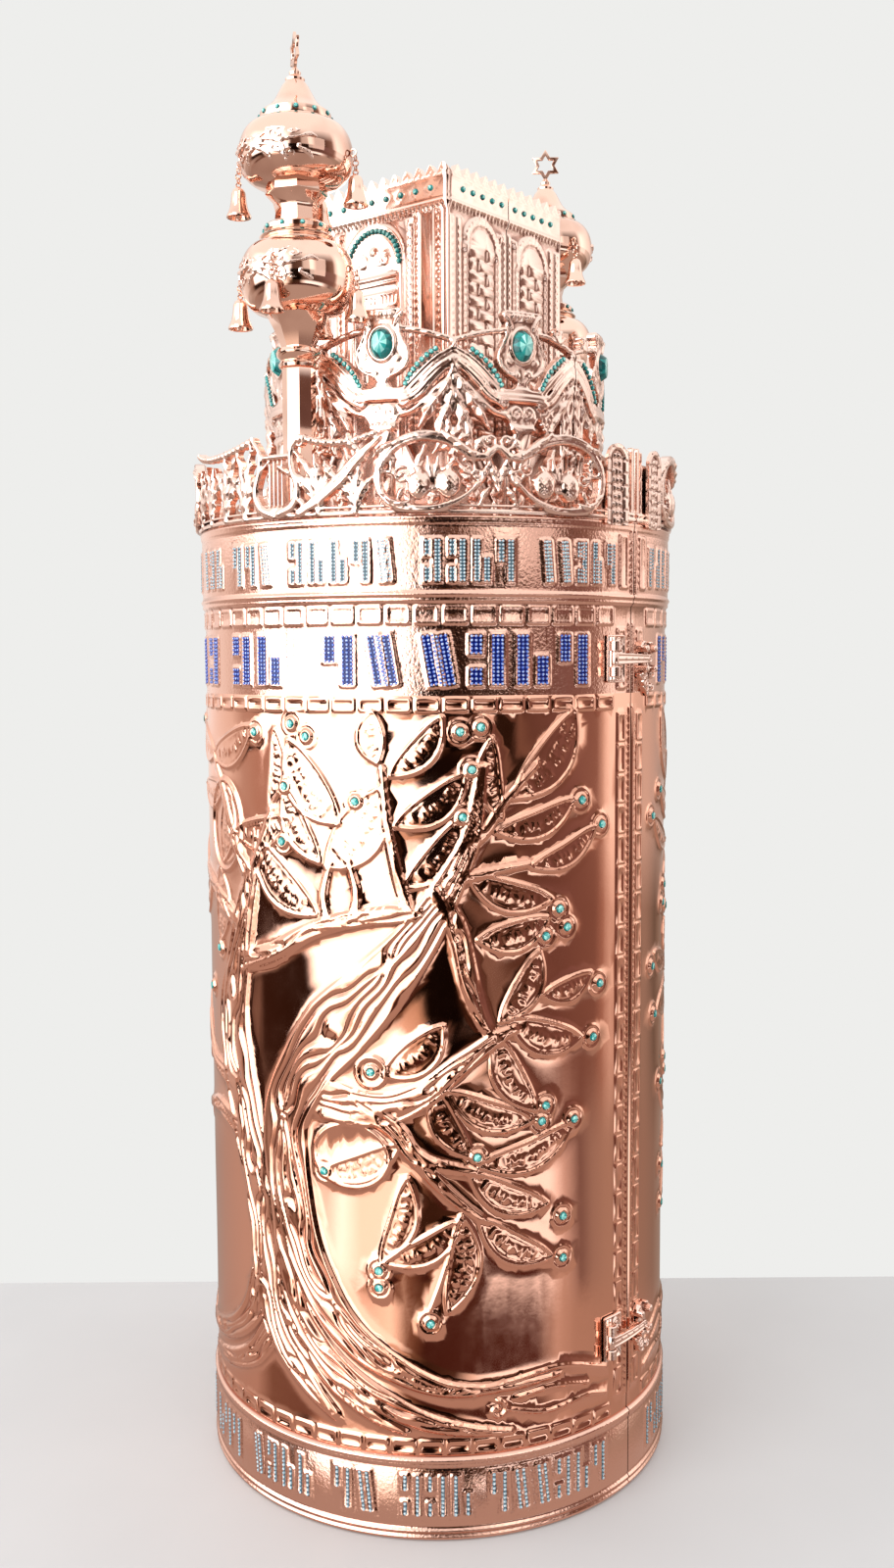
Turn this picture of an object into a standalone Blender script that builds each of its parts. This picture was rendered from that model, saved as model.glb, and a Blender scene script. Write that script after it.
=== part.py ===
"""A round upright case for a scroll: two half drums, hinged at the back and latched in front, with
a pierced crown, a coronet of shields, a small temple and two finials with bells on top.

The front seam faces -Y, the left half is at -X and the right half, the door, at +X. The left half
is modelled first and the right half is its mirror image. Places on the drum are given by the angle
from the front seam, in degrees, and the height above the floor."""

import math

import bmesh
import bpy
from mathutils import Matrix, Vector

MM = 0.001

GAP = 0.3 * MM                  # clearance between pieces that touch
SEAM = 0.4 * MM                 # from the middle plane to the cut face of each half

CASE_RADIUS = 147.2 * MM        # outside of the plain wall
CASE_WALL = 6.0 * MM
CASE_TOP = 588.0 * MM
DISC = 8.0 * MM                 # thickness of the bottom and of the top disc
BEAD_RISE = 2.8 * MM            # beads beyond the plain wall
BAND_RISE = 1.5 * MM            # bands beyond the plain wall
BASE_BAND = (9.0 * MM, 44.0 * MM)
TOP_BAND = (546.0 * MM, 583.0 * MM)
CASE_STEPS = 20                 # facets round each half

RELIEF_SINK = 2.2 * MM          # how far raised work reaches into its ground
LEAF_RISE = 2.6 * MM
LIMB_RISE = 3.0 * MM
BERRY_RISE = 3.0 * MM

HINGE_Y = 152.6 * MM            # the door's hinge axis, behind the back seam
KNUCKLE_RADIUS = 3.0 * MM
PIN_RADIUS = 1.1 * MM
BORE_RADIUS = 1.6 * MM
HINGE_HEIGHTS = {"lower": 122.0 * MM, "upper": 446.0 * MM}
HINGE_LENGTH = 42.0 * MM

CROWN_RADIUS = 148.6 * MM
CROWN_WALL = 2.6 * MM
CROWN_LOW = CASE_TOP + GAP
CROWN_RISE = 40.0 * MM
CROWN_STEPS = 22

CORONET_RADIUS = 104.0 * MM
CORONET_WALL = 3.0 * MM
CORONET_STEPS = 24
CORONET_ARCH_TOP = 690.0 * MM
CORONET_SPRING = 662.0 * MM
SHIELD_TOP = 709.0 * MM
SHIELD_STEP = 45.0              # degrees between shields, the first half a step from the seam

TEMPLE_HALF_WIDTH = 58.0 * MM   # across the seam
TEMPLE_HALF_DEPTH = 57.0 * MM   # along the seam
TEMPLE_WALL = 2.6 * MM
TEMPLE_CORNICE = 779.0 * MM
TEMPLE_DECK = 787.0 * MM
TEMPLE_TOP = 798.0 * MM
CORNICE_REACH = 2.4 * MM

FINIAL_OFFSET = 124.6 * MM      # finial axes from the middle of the case
FINIAL_SIDES = 10
SPHERE_RADIUS = 33.0 * MM
UPPER_SPHERE = 793.0 * MM
LOWER_SPHERE = 730.0 * MM
STAR_CENTRE = 852.0 * MM
STAR_RADIUS = 11.0 * MM
BELL_REACH = 36.5 * MM          # bells from their finial's axis
BELL_SIDES = 5

ROSE_GOLD = (0.79, 0.42, 0.30, 1.0)
FLAT = math.radians(0.05)       # a face bent by more than this is split
STEEL = (0.55, 0.42, 0.34, 1.0)


# ---------------------------------------------------------------- places and basic solids

def place(angle, height, radius):
    """The point at an angle from the front seam, on the left half."""
    turn = math.radians(angle)
    return Vector((-radius * math.sin(turn) - SEAM, -radius * math.cos(turn), height))


def spread(path, index):
    """Unit direction across a path of (angle, height) points, in metres along the drum's skin."""
    before = path[max(index - 1, 0)]
    after = path[min(index + 1, len(path) - 1)]
    along = Vector((math.radians(after[0] - before[0]) * CASE_RADIUS, after[1] - before[1]))
    along.normalize()
    return Vector((-along.y, along.x))


def close(mesh, rings):
    """Walls between rings of points, and a face over each end."""
    made = [[mesh.verts.new(point) for point in ring] for ring in rings]
    for near, far in zip(made, made[1:]):
        for index in range(len(near)):
            following = (index + 1) % len(near)
            mesh.faces.new((near[index], near[following], far[following], far[index]))
    mesh.faces.new(made[0])
    mesh.faces.new(made[-1])


def strip(mesh, path, widths, ground, rise, crest=0.5):
    """A raised strip along (angle, height in mm) points: broad foot, narrower top."""
    path = [(angle, height * MM) for angle, height in path]
    rings = []
    for index, (angle, height) in enumerate(path):
        across = spread(path, index) * widths[index] * MM
        ring = []
        for side, radius in ((-1.0, ground - RELIEF_SINK), (-crest, ground + rise),
                             (crest, ground + rise), (1.0, ground - RELIEF_SINK)):
            shift = math.degrees(across.x * side / ground)
            ring.append(place(angle + shift, height + across.y * side, radius))
        rings.append(ring)
    close(mesh, rings)


def boss(mesh, angle, height, size, ground, rise, sides=6, crest=0.55, squash=1.0):
    """A raised round or oval knob on a turned wall; size is half its width in mm."""
    rings = []
    for scale, radius in ((1.0, ground - RELIEF_SINK), (crest, ground + rise)):
        ring = []
        for index in range(sides):
            turn = 2.0 * math.pi * index / sides
            shift = math.degrees(size * MM * scale * math.cos(turn) / ground)
            lift = size * MM * scale * squash * math.sin(turn)
            ring.append(place(angle + shift, height * MM + lift, radius))
        rings.append(ring)
    close(mesh, rings)


def radial_prism(mesh, outline, inner, outer):
    """A prism along the radius, from an outline of (angle, height in mm) points."""
    close(mesh, [[place(angle, height * MM, radius) for angle, height in outline]
                 for radius in (inner, outer)])


def box(mesh, low, high):
    """A box between two corners."""
    rings = []
    for z in (low[2], high[2]):
        rings.append([Vector((low[0], low[1], z)), Vector((high[0], low[1], z)),
                      Vector((high[0], high[1], z)), Vector((low[0], high[1], z))])
    close(mesh, rings)


def rod(mesh, centre, radius, low, high, sides=8):
    """An upright prism with a round section."""
    rings = []
    for z in (low, high):
        rings.append([Vector((centre[0] + radius * math.cos(2 * math.pi * index / sides),
                              centre[1] + radius * math.sin(2 * math.pi * index / sides), z))
                      for index in range(sides)])
    close(mesh, rings)


def upright_prism(mesh, outline, low, high):
    """A plan outline of (x, y) points carried up between two heights."""
    close(mesh, [[Vector((x, y, z)) for x, y in outline] for z in (low, high)])


def turned(mesh, profile, steps, turn, centre=(0.0, 0.0)):
    """A body turned about a vertical axis from (radius, height) points, from -Y towards -X."""
    start = [mesh.verts.new((centre[0], centre[1] - radius, height)) for radius, height in profile]
    edges = [mesh.edges.new(pair) for pair in zip(start, start[1:] + start[:1])]
    spun = bmesh.ops.spin(mesh, geom=start + edges, cent=(centre[0], centre[1], 0.0),
                          axis=(0.0, 0.0, 1.0), angle=-turn, steps=steps)
    if turn < 2.0 * math.pi:
        finish = [item for item in spun["geom_last"] if isinstance(item, bmesh.types.BMVert)]
        mesh.faces.new(start)
        mesh.faces.new(finish)
    bmesh.ops.remove_doubles(mesh, verts=mesh.verts, dist=0.001 * MM)
    loose = [edge for edge in mesh.edges if not edge.link_faces]
    bmesh.ops.delete(mesh, geom=loose, context="EDGES")


# ---------------------------------------------------------------- objects

def material(name, colour, roughness):
    """A polished metal."""
    made = bpy.data.materials.new(name)
    made.use_nodes = True
    shader = made.node_tree.nodes["Principled BSDF"]
    shader.inputs["Base Color"].default_value = colour
    shader.inputs["Metallic"].default_value = 1.0
    shader.inputs["Roughness"].default_value = roughness
    return made


def thing(name, mesh, colour=ROSE_GOLD, roughness=0.18):
    """An object of its own from a finished bmesh, with faces pointing out."""
    bmesh.ops.recalc_face_normals(mesh, faces=mesh.faces)
    bmesh.ops.connect_verts_nonplanar(mesh, angle_limit=FLAT, faces=mesh.faces)
    data = bpy.data.meshes.new(name)
    mesh.to_mesh(data)
    mesh.free()
    made = bpy.data.objects.new(name, data)
    bpy.context.scene.collection.objects.link(made)
    data.materials.append(material(name + "_metal", colour, roughness))
    return made


def boolean(target, tool_mesh, operation):
    """Join a closed mesh to the target, or cut it out, for good."""
    tool = thing("tool", tool_mesh)
    modifier = target.modifiers.new("boolean", "BOOLEAN")
    modifier.operation = operation
    modifier.object = tool
    modifier.use_self = operation == "UNION"
    graph = bpy.context.evaluated_depsgraph_get()
    result = bpy.data.meshes.new_from_object(target.evaluated_get(graph))
    target.modifiers.clear()
    metal = target.data.materials[0]
    target.data = result
    result.name = target.name
    result.materials.clear()
    result.materials.append(metal)
    bpy.data.objects.remove(tool)


def tidy(target, keep=0.7):
    """Merge the slivers that cuts leave behind, down to a share of the faces."""
    mesh = bmesh.new()
    mesh.from_mesh(target.data)
    bmesh.ops.dissolve_degenerate(mesh, dist=0.02 * MM, edges=mesh.edges)
    mesh.to_mesh(target.data)
    mesh.free()
    modifier = target.modifiers.new("tidy", "DECIMATE")
    modifier.ratio = keep
    modifier.use_collapse_triangulate = True
    graph = bpy.context.evaluated_depsgraph_get()
    result = bpy.data.meshes.new_from_object(target.evaluated_get(graph))
    target.modifiers.clear()
    result.name = target.name
    target.data = result


def mirror_image(source, name):
    """The same piece on the other side of the seam, as an object of its own."""
    data = source.data.copy()
    data.name = name
    data.transform(Matrix.Scale(-1.0, 4, (1.0, 0.0, 0.0)))
    data.flip_normals()
    made = bpy.data.objects.new(name, data)
    bpy.context.scene.collection.objects.link(made)
    data.materials[0] = source.data.materials[0].copy()
    return made


def hang_on(pieces, name, location):
    """Parent pieces to an empty that stands on their joint's axis."""
    axis = bpy.data.objects.new(name, None)
    axis.location = location
    bpy.context.scene.collection.objects.link(axis)
    for piece in pieces:
        piece.parent = axis
        piece.matrix_parent_inverse = Matrix.Translation(-Vector(location))


# ---------------------------------------------------------------- the drum

# Limbs of the tree: their points as (angle, height in mm), and half widths in mm at foot and end.
LIMBS = (
    (((92, 84), (90, 150), (92, 240)), 34, 29),                      # trunk
    (((97, 225), (101, 290), (98, 385)), 17, 8),                     # limb towards the back
    (((85, 225), (76, 285), (58, 350), (42, 415)), 16, 5),           # limb towards the front
    (((98, 325), (78, 358), (54, 368)), 7, 6),                       # limb that crosses between
    (((74, 260), (57, 262), (36, 300)), 9, 4),
    (((52, 378), (46, 340), (36, 290)), 6, 3),
    (((66, 255), (54, 224), (42, 190)), 7, 3),
    (((82, 130), (68, 96), (46, 84)), 11, 4),                        # roots
    (((86, 108), (72, 78), (40, 75)), 9, 3),
    (((98, 125), (108, 92), (128, 84)), 11, 4),
    (((104, 108), (120, 76), (142, 76)), 8, 3),
)

# Leaves: (angle, height) at the stalk and at the tip, and half width in mm.
LEAVES = (
    ((64, 450), (65, 496), 10), ((60, 436), (47, 472), 10), ((58, 384), (47, 418), 10),
    ((37, 425), (20, 486), 13), ((32, 398), (13, 412), 9), ((45, 386), (22, 366), 11),
    ((37, 306), (28, 342), 10), ((35, 302), (16, 290), 10), ((52, 266), (30, 246), 10),
    ((44, 220), (22, 192), 11), ((47, 190), (50, 138), 10), ((50, 303), (64, 274), 11),
    ((60, 238), (80, 210), 19), ((73, 418), (86, 462), 13), ((79, 368), (97, 404), 12),
    ((118, 376), (104, 318), 12), ((122, 398), (106, 446), 19), ((130, 384), (150, 396), 11),
    ((124, 292), (144, 322), 11), ((122, 246), (144, 224), 11),
)


def case_profile():
    """The drum's section: solid bottom and top, thin wall, beads and bands outside."""
    wall = CASE_RADIUS
    band = CASE_RADIUS + BAND_RISE
    bead = CASE_RADIUS + BEAD_RISE
    inside = CASE_RADIUS - CASE_WALL
    low, high = BASE_BAND
    under, over = TOP_BAND
    step = 3.0 * MM
    return ((0.0, 0.0), (bead, 0.0), (bead, low - step), (band, low), (band, high),
            (bead, high + step), (wall, high + 2 * step), (wall, under - 2 * step),
            (bead, under - step), (band, under), (band, over), (bead, over + step),
            (bead, CASE_TOP), (0.0, CASE_TOP),
            (0.0, CASE_TOP - DISC), (inside, CASE_TOP - DISC), (inside, DISC), (0.0, DISC))


def tree(mesh):
    """The tree of life that covers each half, with its trunk in the middle."""
    for path, thick, thin in LIMBS:
        middle = (thick + thin) / 2.0
        widths = [thick] + [middle] * (len(path) - 2) + [thin]
        strip(mesh, path, widths, CASE_RADIUS, LIMB_RISE, 0.6)
    for stalk, tip, width in LEAVES:
        belly = tuple(near + (far - near) * 0.5 for near, far in zip(stalk, tip))
        strip(mesh, (stalk, belly, tip), (0.15 * width, width, 0.12 * width), CASE_RADIUS, LEAF_RISE)


def case_half():
    """One half of the drum, with the tree in relief and a socket hole for its finial."""
    mesh = bmesh.new()
    turned(mesh, case_profile(), CASE_STEPS, math.pi)
    bmesh.ops.translate(mesh, vec=(-SEAM, 0.0, 0.0), verts=mesh.verts)
    half = thing("left_case", mesh)
    relief = bmesh.new()
    tree(relief)
    boolean(half, relief, "UNION")
    socket = bmesh.new()
    rod(socket, (-FINIAL_OFFSET, 0.0), 8.8 * MM, CASE_TOP - 2 * DISC, CASE_TOP + DISC, 10)
    boolean(half, socket, "DIFFERENCE")
    tidy(half, 0.76)
    return half


# ---------------------------------------------------------------- crown, tablets and coronet

def crown_height(angle):
    """The crown's scrolled top edge: high over the scrolls, low between them."""
    return CROWN_LOW + CROWN_RISE + 6.0 * MM * math.cos(math.radians(angle * 8.0))


def crown_half():
    """The pierced crown round the top rim, with a lyre in the middle of each half."""
    outer = CROWN_RADIUS
    inner = CROWN_RADIUS - CROWN_WALL
    mesh = bmesh.new()
    turned(mesh, ((inner, CROWN_LOW), (outer, CROWN_LOW), (outer, CASE_TOP + 1.5 * CROWN_RISE),
                  (inner, CASE_TOP + 1.5 * CROWN_RISE)), CROWN_STEPS, math.pi)
    bmesh.ops.translate(mesh, vec=(-SEAM, 0.0, 0.0), verts=mesh.verts)
    for vert in mesh.verts:
        if vert.co.z > CASE_TOP + CROWN_RISE:
            angle = math.degrees(math.atan2(-vert.co.x - SEAM, -vert.co.y))
            vert.co.z = crown_height(angle)
    half = thing("left_crown", mesh)
    holes = bmesh.new()
    for angle in (22, 37, 52, 70, 110, 128, 143, 158):
        outline = ((angle + 3.4, 609), (angle, 618), (angle - 3.4, 609), (angle, 600))
        radial_prism(holes, outline, inner - 4 * MM, outer + 4 * MM)
    boolean(half, holes, "DIFFERENCE")
    relief = bmesh.new()
    for angle in (29.5, 44.5, 60.5, 119.5, 135.5, 150.5):
        boss(relief, angle, 611, 6.0, outer, 3.2 * MM, squash=1.3)
    for side in (-1, 1):
        arm = ((90, 594), (90 + side * 5.5, 603), (90 + side * 3.2, 617), (90 + side * 4.4, 631))
        strip(relief, arm, (2.2, 2.4, 2.0, 1.6), outer, 2.4 * MM)
    boolean(half, relief, "UNION")
    tidy(half)
    return half


def tablet():
    """A round-topped tablet beside the front seam."""
    mesh = bmesh.new()
    middle, reach = 8.0, 3.6
    foot, shoulder, crown = 584.0, 622.0, 9.5
    outline = [(middle + reach, foot), (middle - reach, foot)]
    for index in range(6):
        turn = math.pi * index / 5.0
        outline.append((middle - reach * math.cos(turn), shoulder + crown * math.sin(turn)))
    near = CASE_RADIUS + BEAD_RISE + GAP
    radial_prism(mesh, outline, near, near + 2.4 * MM)
    return thing("left_tablet", mesh)


def coronet_height(angle):
    """The coronet's top edge: an arch between shields, a flat top over each shield."""
    phase = (angle / SHIELD_STEP) % 1.0
    from_shield = abs(phase - 0.5)
    if from_shield < 0.2:
        return SHIELD_TOP - 4.0 * MM
    return CORONET_SPRING + (CORONET_ARCH_TOP - CORONET_SPRING) * math.sin(
        math.pi * min(1.0, (from_shield - 0.1) / 0.4) / 2.0)


def shield(mesh, angle):
    """A shield with an oval stone, on a plinth and its column."""
    ground = CORONET_RADIUS
    edge = ((3.4, 590), (3.4, 644), (7.0, 659), (8.0, 667), (3.4, 669), (7.6, 678), (7.6, 693),
            (5.2, 700), (6.5, 709))
    outline = [(angle + across, height) for across, height in edge]
    outline += [(angle - across, height) for across, height in reversed(edge)]
    radial_prism(mesh, outline, ground - 1.0 * MM, ground + 3.0 * MM)
    boss(mesh, angle, 689, 6.5, ground + 3.0 * MM, 2.2 * MM, sides=8, squash=1.35)


def coronet_half():
    """The inner coronet: shields over columns, with pierced arches between them."""
    outer = CORONET_RADIUS
    inner = CORONET_RADIUS - CORONET_WALL
    mesh = bmesh.new()
    turned(mesh, ((inner, CROWN_LOW), (outer, CROWN_LOW), (outer, SHIELD_TOP),
                  (inner, SHIELD_TOP)), CORONET_STEPS, math.pi)
    bmesh.ops.translate(mesh, vec=(-SEAM, 0.0, 0.0), verts=mesh.verts)
    for vert in mesh.verts:
        if vert.co.z > CORONET_SPRING:
            angle = math.degrees(math.atan2(-vert.co.x - SEAM, -vert.co.y))
            vert.co.z = coronet_height(angle)
    half = thing("left_coronet", mesh)
    holes = bmesh.new()
    for bay in range(1, 4):
        middle = bay * SHIELD_STEP
        outline = ((middle - 11, 606), (middle + 11, 606), (middle + 11, 646), (middle, 672),
                   (middle - 11, 646))
        radial_prism(holes, outline, inner - 4 * MM, outer + 4 * MM)
    boolean(half, holes, "DIFFERENCE")
    relief = bmesh.new()
    for index in range(4):
        shield(relief, SHIELD_STEP * (index + 0.5))
    for bay in range(1, 4):
        middle = bay * SHIELD_STEP
        arch = [(middle + 15.2 * part, 652 + 30 * (1 - part * part)) for part in (-1, -0.4, 0.4, 1)]
        strip(relief, arch, (3.0, 3.3, 3.3, 3.0), outer + 0.5 * MM, 2.1 * MM)
    boolean(half, relief, "UNION")
    tidy(half)
    return half


# ---------------------------------------------------------------- temple

def arch_outline(middle, half_width, foot, spring, steps=6):
    """A round-headed opening, as (across, height) points."""
    points = [(middle - half_width, foot), (middle + half_width, foot)]
    for index in range(steps + 1):
        turn = math.pi * index / steps
        points.append((middle + half_width * math.cos(turn), spring + half_width * math.sin(turn)))
    return points


def half_court(reach_x, reach_y, wall):
    """The plan of three walls round the left half, open at the seam."""
    return ((-SEAM, -reach_y), (-SEAM, -reach_y + wall), (-reach_x + wall, -reach_y + wall),
            (-reach_x + wall, reach_y - wall), (-SEAM, reach_y - wall), (-SEAM, reach_y),
            (-reach_x, reach_y), (-reach_x, -reach_y))


def merlons(mesh, start, end, count):
    """Pointed merlons in a row on top of the parapet, between two plan points."""
    start, end = Vector(start), Vector(end)
    pitch = (end - start) / count
    across = Vector((-pitch.y, pitch.x)).normalized() * 0.9 * MM
    for index in range(count):
        middle = start + pitch * (index + 0.5)
        rings = []
        for reach, z in ((0.38, TEMPLE_TOP - 7 * MM), (0.30, TEMPLE_TOP - 3 * MM),
                         (0.04, TEMPLE_TOP)):
            corners = (middle - pitch * reach - across, middle + pitch * reach - across,
                       middle + pitch * reach + across, middle - pitch * reach + across)
            rings.append([Vector((corner.x, corner.y, z)) for corner in corners])
        close(mesh, rings)


def temple_half():
    """Half of the little temple: three walls, arched fields, a cornice and a cresting."""
    reach_x, reach_y = TEMPLE_HALF_WIDTH, TEMPLE_HALF_DEPTH
    mesh = bmesh.new()
    upright_prism(mesh, half_court(reach_x, reach_y, TEMPLE_WALL), CROWN_LOW, TEMPLE_CORNICE)
    half = thing("left_temple", mesh)
    recess = bmesh.new()
    depth = 1.2 * MM
    for side in (-1, 1):
        window = arch_outline(-26.0 * MM, 12.0 * MM, 640 * MM, 752 * MM)
        face = side * reach_y
        close(recess, [[Vector((x, y, z)) for x, z in window]
                       for y in (face - side * depth, face + side * depth)])
    gate = arch_outline(-2.0 * MM, 26.0 * MM, 640 * MM, 745 * MM)
    close(recess, [[Vector((x, y, z)) for y, z in gate]
                   for x in (-reach_x + depth, -reach_x - depth)])
    boolean(half, recess, "DIFFERENCE")
    upper = bmesh.new()
    wide_x, wide_y = reach_x + CORNICE_REACH, reach_y + CORNICE_REACH
    box(upper, (-wide_x, -wide_y, TEMPLE_CORNICE - 0.5 * MM), (-SEAM, wide_y, TEMPLE_DECK))
    upright_prism(upper, half_court(wide_x, wide_y, 2.0 * MM), TEMPLE_DECK - 1 * MM,
                  TEMPLE_TOP - 6 * MM)
    edge_x, edge_y = wide_x - 1.0 * MM, wide_y - 1.0 * MM
    merlons(upper, (-1.0 * MM, -edge_y), (-wide_x, -edge_y), 4)
    merlons(upper, (-edge_x, -wide_y + 3 * MM), (-edge_x, wide_y - 3 * MM), 7)
    merlons(upper, (-wide_x, edge_y), (-1.0 * MM, edge_y), 4)
    boolean(half, upper, "UNION")
    tidy(half)
    return half


# ---------------------------------------------------------------- finials and bells

def finial_profile():
    """The finial's section from its peg up to the spike that carries the star."""
    seat = CASE_TOP + GAP
    points = [(0.0, CASE_TOP - DISC - 4 * MM), (8.0 * MM, CASE_TOP - DISC - 4 * MM),
              (8.0 * MM, seat), (13.0 * MM, seat), (13.0 * MM, seat + 4 * MM), (9.6 * MM, seat + 6 * MM),
              (9.6 * MM, 682 * MM), (13.0 * MM, 686 * MM), (11.0 * MM, 690 * MM)]
    for centre in (LOWER_SPHERE, UPPER_SPHERE):
        foot = 18.0 * MM if centre == LOWER_SPHERE else 14.0 * MM
        points.append((foot, centre - 0.78 * SPHERE_RADIUS))
        for lift in (-35, 0, 35, 60):
            turn = math.radians(lift)
            points.append((SPHERE_RADIUS * math.cos(turn), centre + 0.85 * SPHERE_RADIUS * math.sin(turn)))
    points += [(9.0 * MM, 826 * MM), (4.0 * MM, 836 * MM), (2.0 * MM, STAR_CENTRE - 9 * MM),
               (0.0, STAR_CENTRE - 9 * MM)]
    return points


def star_rings(centre, facing):
    """A six-pointed star plate that stands on edge; facing is its normal's azimuth in degrees."""
    turn = math.radians(facing)
    normal = Vector((math.cos(turn), math.sin(turn), 0.0))
    across = Vector((-math.sin(turn), math.cos(turn), 0.0))
    rings = []
    for side in (-1.0, 1.0):
        ring = []
        for index in range(12):
            reach = STAR_RADIUS if index % 2 == 0 else STAR_RADIUS / math.sqrt(3.0)
            angle = math.radians(90 + 30 * index)
            ring.append(centre + normal * side * 0.9 * MM
                        + across * reach * math.cos(angle) + Vector((0, 0, reach * math.sin(angle))))
        rings.append(ring)
    return rings


BELLS = tuple((azimuth, UPPER_SPHERE) for azimuth in (111, 291, 21)) + tuple(
    (azimuth, LOWER_SPHERE) for azimuth in (111, 201, 291, 21))


def bell_place(azimuth):
    """Where a bell hangs in plan, from the azimuth round the left finial's axis."""
    turn = math.radians(azimuth)
    return Vector((-FINIAL_OFFSET + BELL_REACH * math.cos(turn), BELL_REACH * math.sin(turn), 0.0))


def finial():
    """A finial with two bulbs, small hooks for its bells and a star on top."""
    mesh = bmesh.new()
    turned(mesh, finial_profile(), FINIAL_SIDES, 2.0 * math.pi, (-FINIAL_OFFSET, 0.0))
    made = thing("left_finial", mesh)
    extra = bmesh.new()
    close(extra, star_rings(Vector((-FINIAL_OFFSET, 0.0, STAR_CENTRE)), 146.0))
    for azimuth, centre in BELLS:
        turn = math.radians(azimuth)
        out = Vector((math.cos(turn), math.sin(turn), 0.0))
        side = Vector((-out.y, out.x, 0.0)) * 1.2 * MM
        up = Vector((0, 0, 1.2 * MM))
        rings = []
        for reach in (SPHERE_RADIUS - 4 * MM, BELL_REACH + 1.6 * MM):
            middle = Vector((-FINIAL_OFFSET, 0.0, centre)) + out * reach
            rings.append([middle + side, middle + up, middle - side, middle - up])
        close(extra, rings)
    boolean(made, extra, "UNION")
    tidy(made)
    return made


def bell(index, azimuth, centre):
    """A small flared bell with its clapper, on a short hanger below its hook."""
    hook = centre - 1.2 * MM - GAP
    crown = hook - 11.0 * MM
    lip = crown - 16.0 * MM
    profile = ((0.0, hook), (0.8 * MM, hook), (0.8 * MM, crown), (3.8 * MM, crown - 2 * MM),
               (7.2 * MM, lip), (6.2 * MM, lip), (1.2 * MM, crown - 5 * MM), (2.2 * MM, lip + 1 * MM),
               (0.0, lip))
    mesh = bmesh.new()
    spot = bell_place(azimuth)
    turned(mesh, tuple(reversed(profile)), BELL_SIDES, 2.0 * math.pi, (spot.x, spot.y))
    return thing(f"left_bell_{index}", mesh)


# ---------------------------------------------------------------- hinges and latches

def hinge(level):
    """A butt hinge on the back seam: two knuckles and the pin at the left, one at the right."""
    middle = HINGE_HEIGHTS[level]
    half = HINGE_LENGTH / 2.0
    inner = CASE_RADIUS + GAP
    plates = {}
    for side, name in ((-1, "left"), (1, "right")):
        mesh = bmesh.new()
        slope = math.radians(90.0 / CASE_STEPS)
        far = 15.0 * MM
        drop = far * math.tan(slope)
        outline = ((side * (SEAM + GAP), inner), (side * far, inner - drop),
                   (side * far, inner - drop + 1.4 * MM), (side * (SEAM + GAP), inner + 1.4 * MM))
        upright_prism(mesh, outline, middle - half, middle + half)
        plates[name] = thing(f"{level}_hinge_{name}", mesh, STEEL, 0.25)
    third = HINGE_LENGTH / 6.0
    spans = {"left": ((middle - half, middle - third - GAP), (middle + third + GAP, middle + half)),
             "right": ((middle - third, middle + third),)}
    for side, name in ((-1, "left"), (1, "right")):
        knuckles = bmesh.new()
        for low, high in spans[name]:
            rod(knuckles, (0.0, HINGE_Y), KNUCKLE_RADIUS, low, high, 8)
        boolean(plates[name], knuckles, "UNION")
        webs = bmesh.new()
        for low, high in spans[name]:
            web = ((side * (SEAM + 2 * GAP), inner + 0.6 * MM), (side * 4.5 * MM, inner + 0.3 * MM),
                   (side * 2.2 * MM, HINGE_Y), (side * 1.6 * MM, HINGE_Y - 1.0 * MM))
            upright_prism(webs, web, low, high)
        boolean(plates[name], webs, "UNION")
    pin = bmesh.new()
    rod(pin, (0.0, HINGE_Y), PIN_RADIUS, middle - third - 2 * MM, middle + third + 2 * MM)
    boolean(plates["left"], pin, "UNION")
    bore = bmesh.new()
    rod(bore, (0.0, HINGE_Y), BORE_RADIUS, middle - half, middle + half)
    boolean(plates["right"], bore, "DIFFERENCE")
    for plate in plates.values():
        tidy(plate)
    return plates["left"], plates["right"]


PLATE_ANGLE = 6.4               # middle of a latch plate, in degrees from the seam
HASP_ANGLE = 8.6                # a hasp's hinge axis
HASP_RADIUS = 152.6 * MM        # the same, from the middle of the case
LATCHES = {"lower": 101.0, "upper": 509.0}
REACH_FRONT = HINGE_Y + KNUCKLE_RADIUS   # the catches stand as far forward as the hinges stand back


def flat_plate(mesh, angle, height, half_width, half_height, inner, outer, side=1.0):
    """A flat plate tangent to the drum, with cut corners; sizes in mm, on the left or the right."""
    middle = place(angle, height * MM, 0.0)
    turn = math.radians(angle)
    out = Vector((-math.sin(turn), -math.cos(turn), 0.0))
    across = Vector((-math.cos(turn), math.sin(turn), 0.0))
    cut = 0.25
    outline = ((-1 + cut, -1), (1 - cut, -1), (1, -1 + cut), (1, 1 - cut), (1 - cut, 1),
               (-1 + cut, 1), (-1, 1 - cut), (-1, -1 + cut))
    rings = []
    for reach in (inner, outer):
        ring = [middle + out * reach + across * x * half_width * MM
                + Vector((0, 0, z * half_height * MM)) for x, z in outline]
        rings.append([Vector((point.x * side, point.y, point.z)) for point in ring])
    close(mesh, rings)


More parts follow.
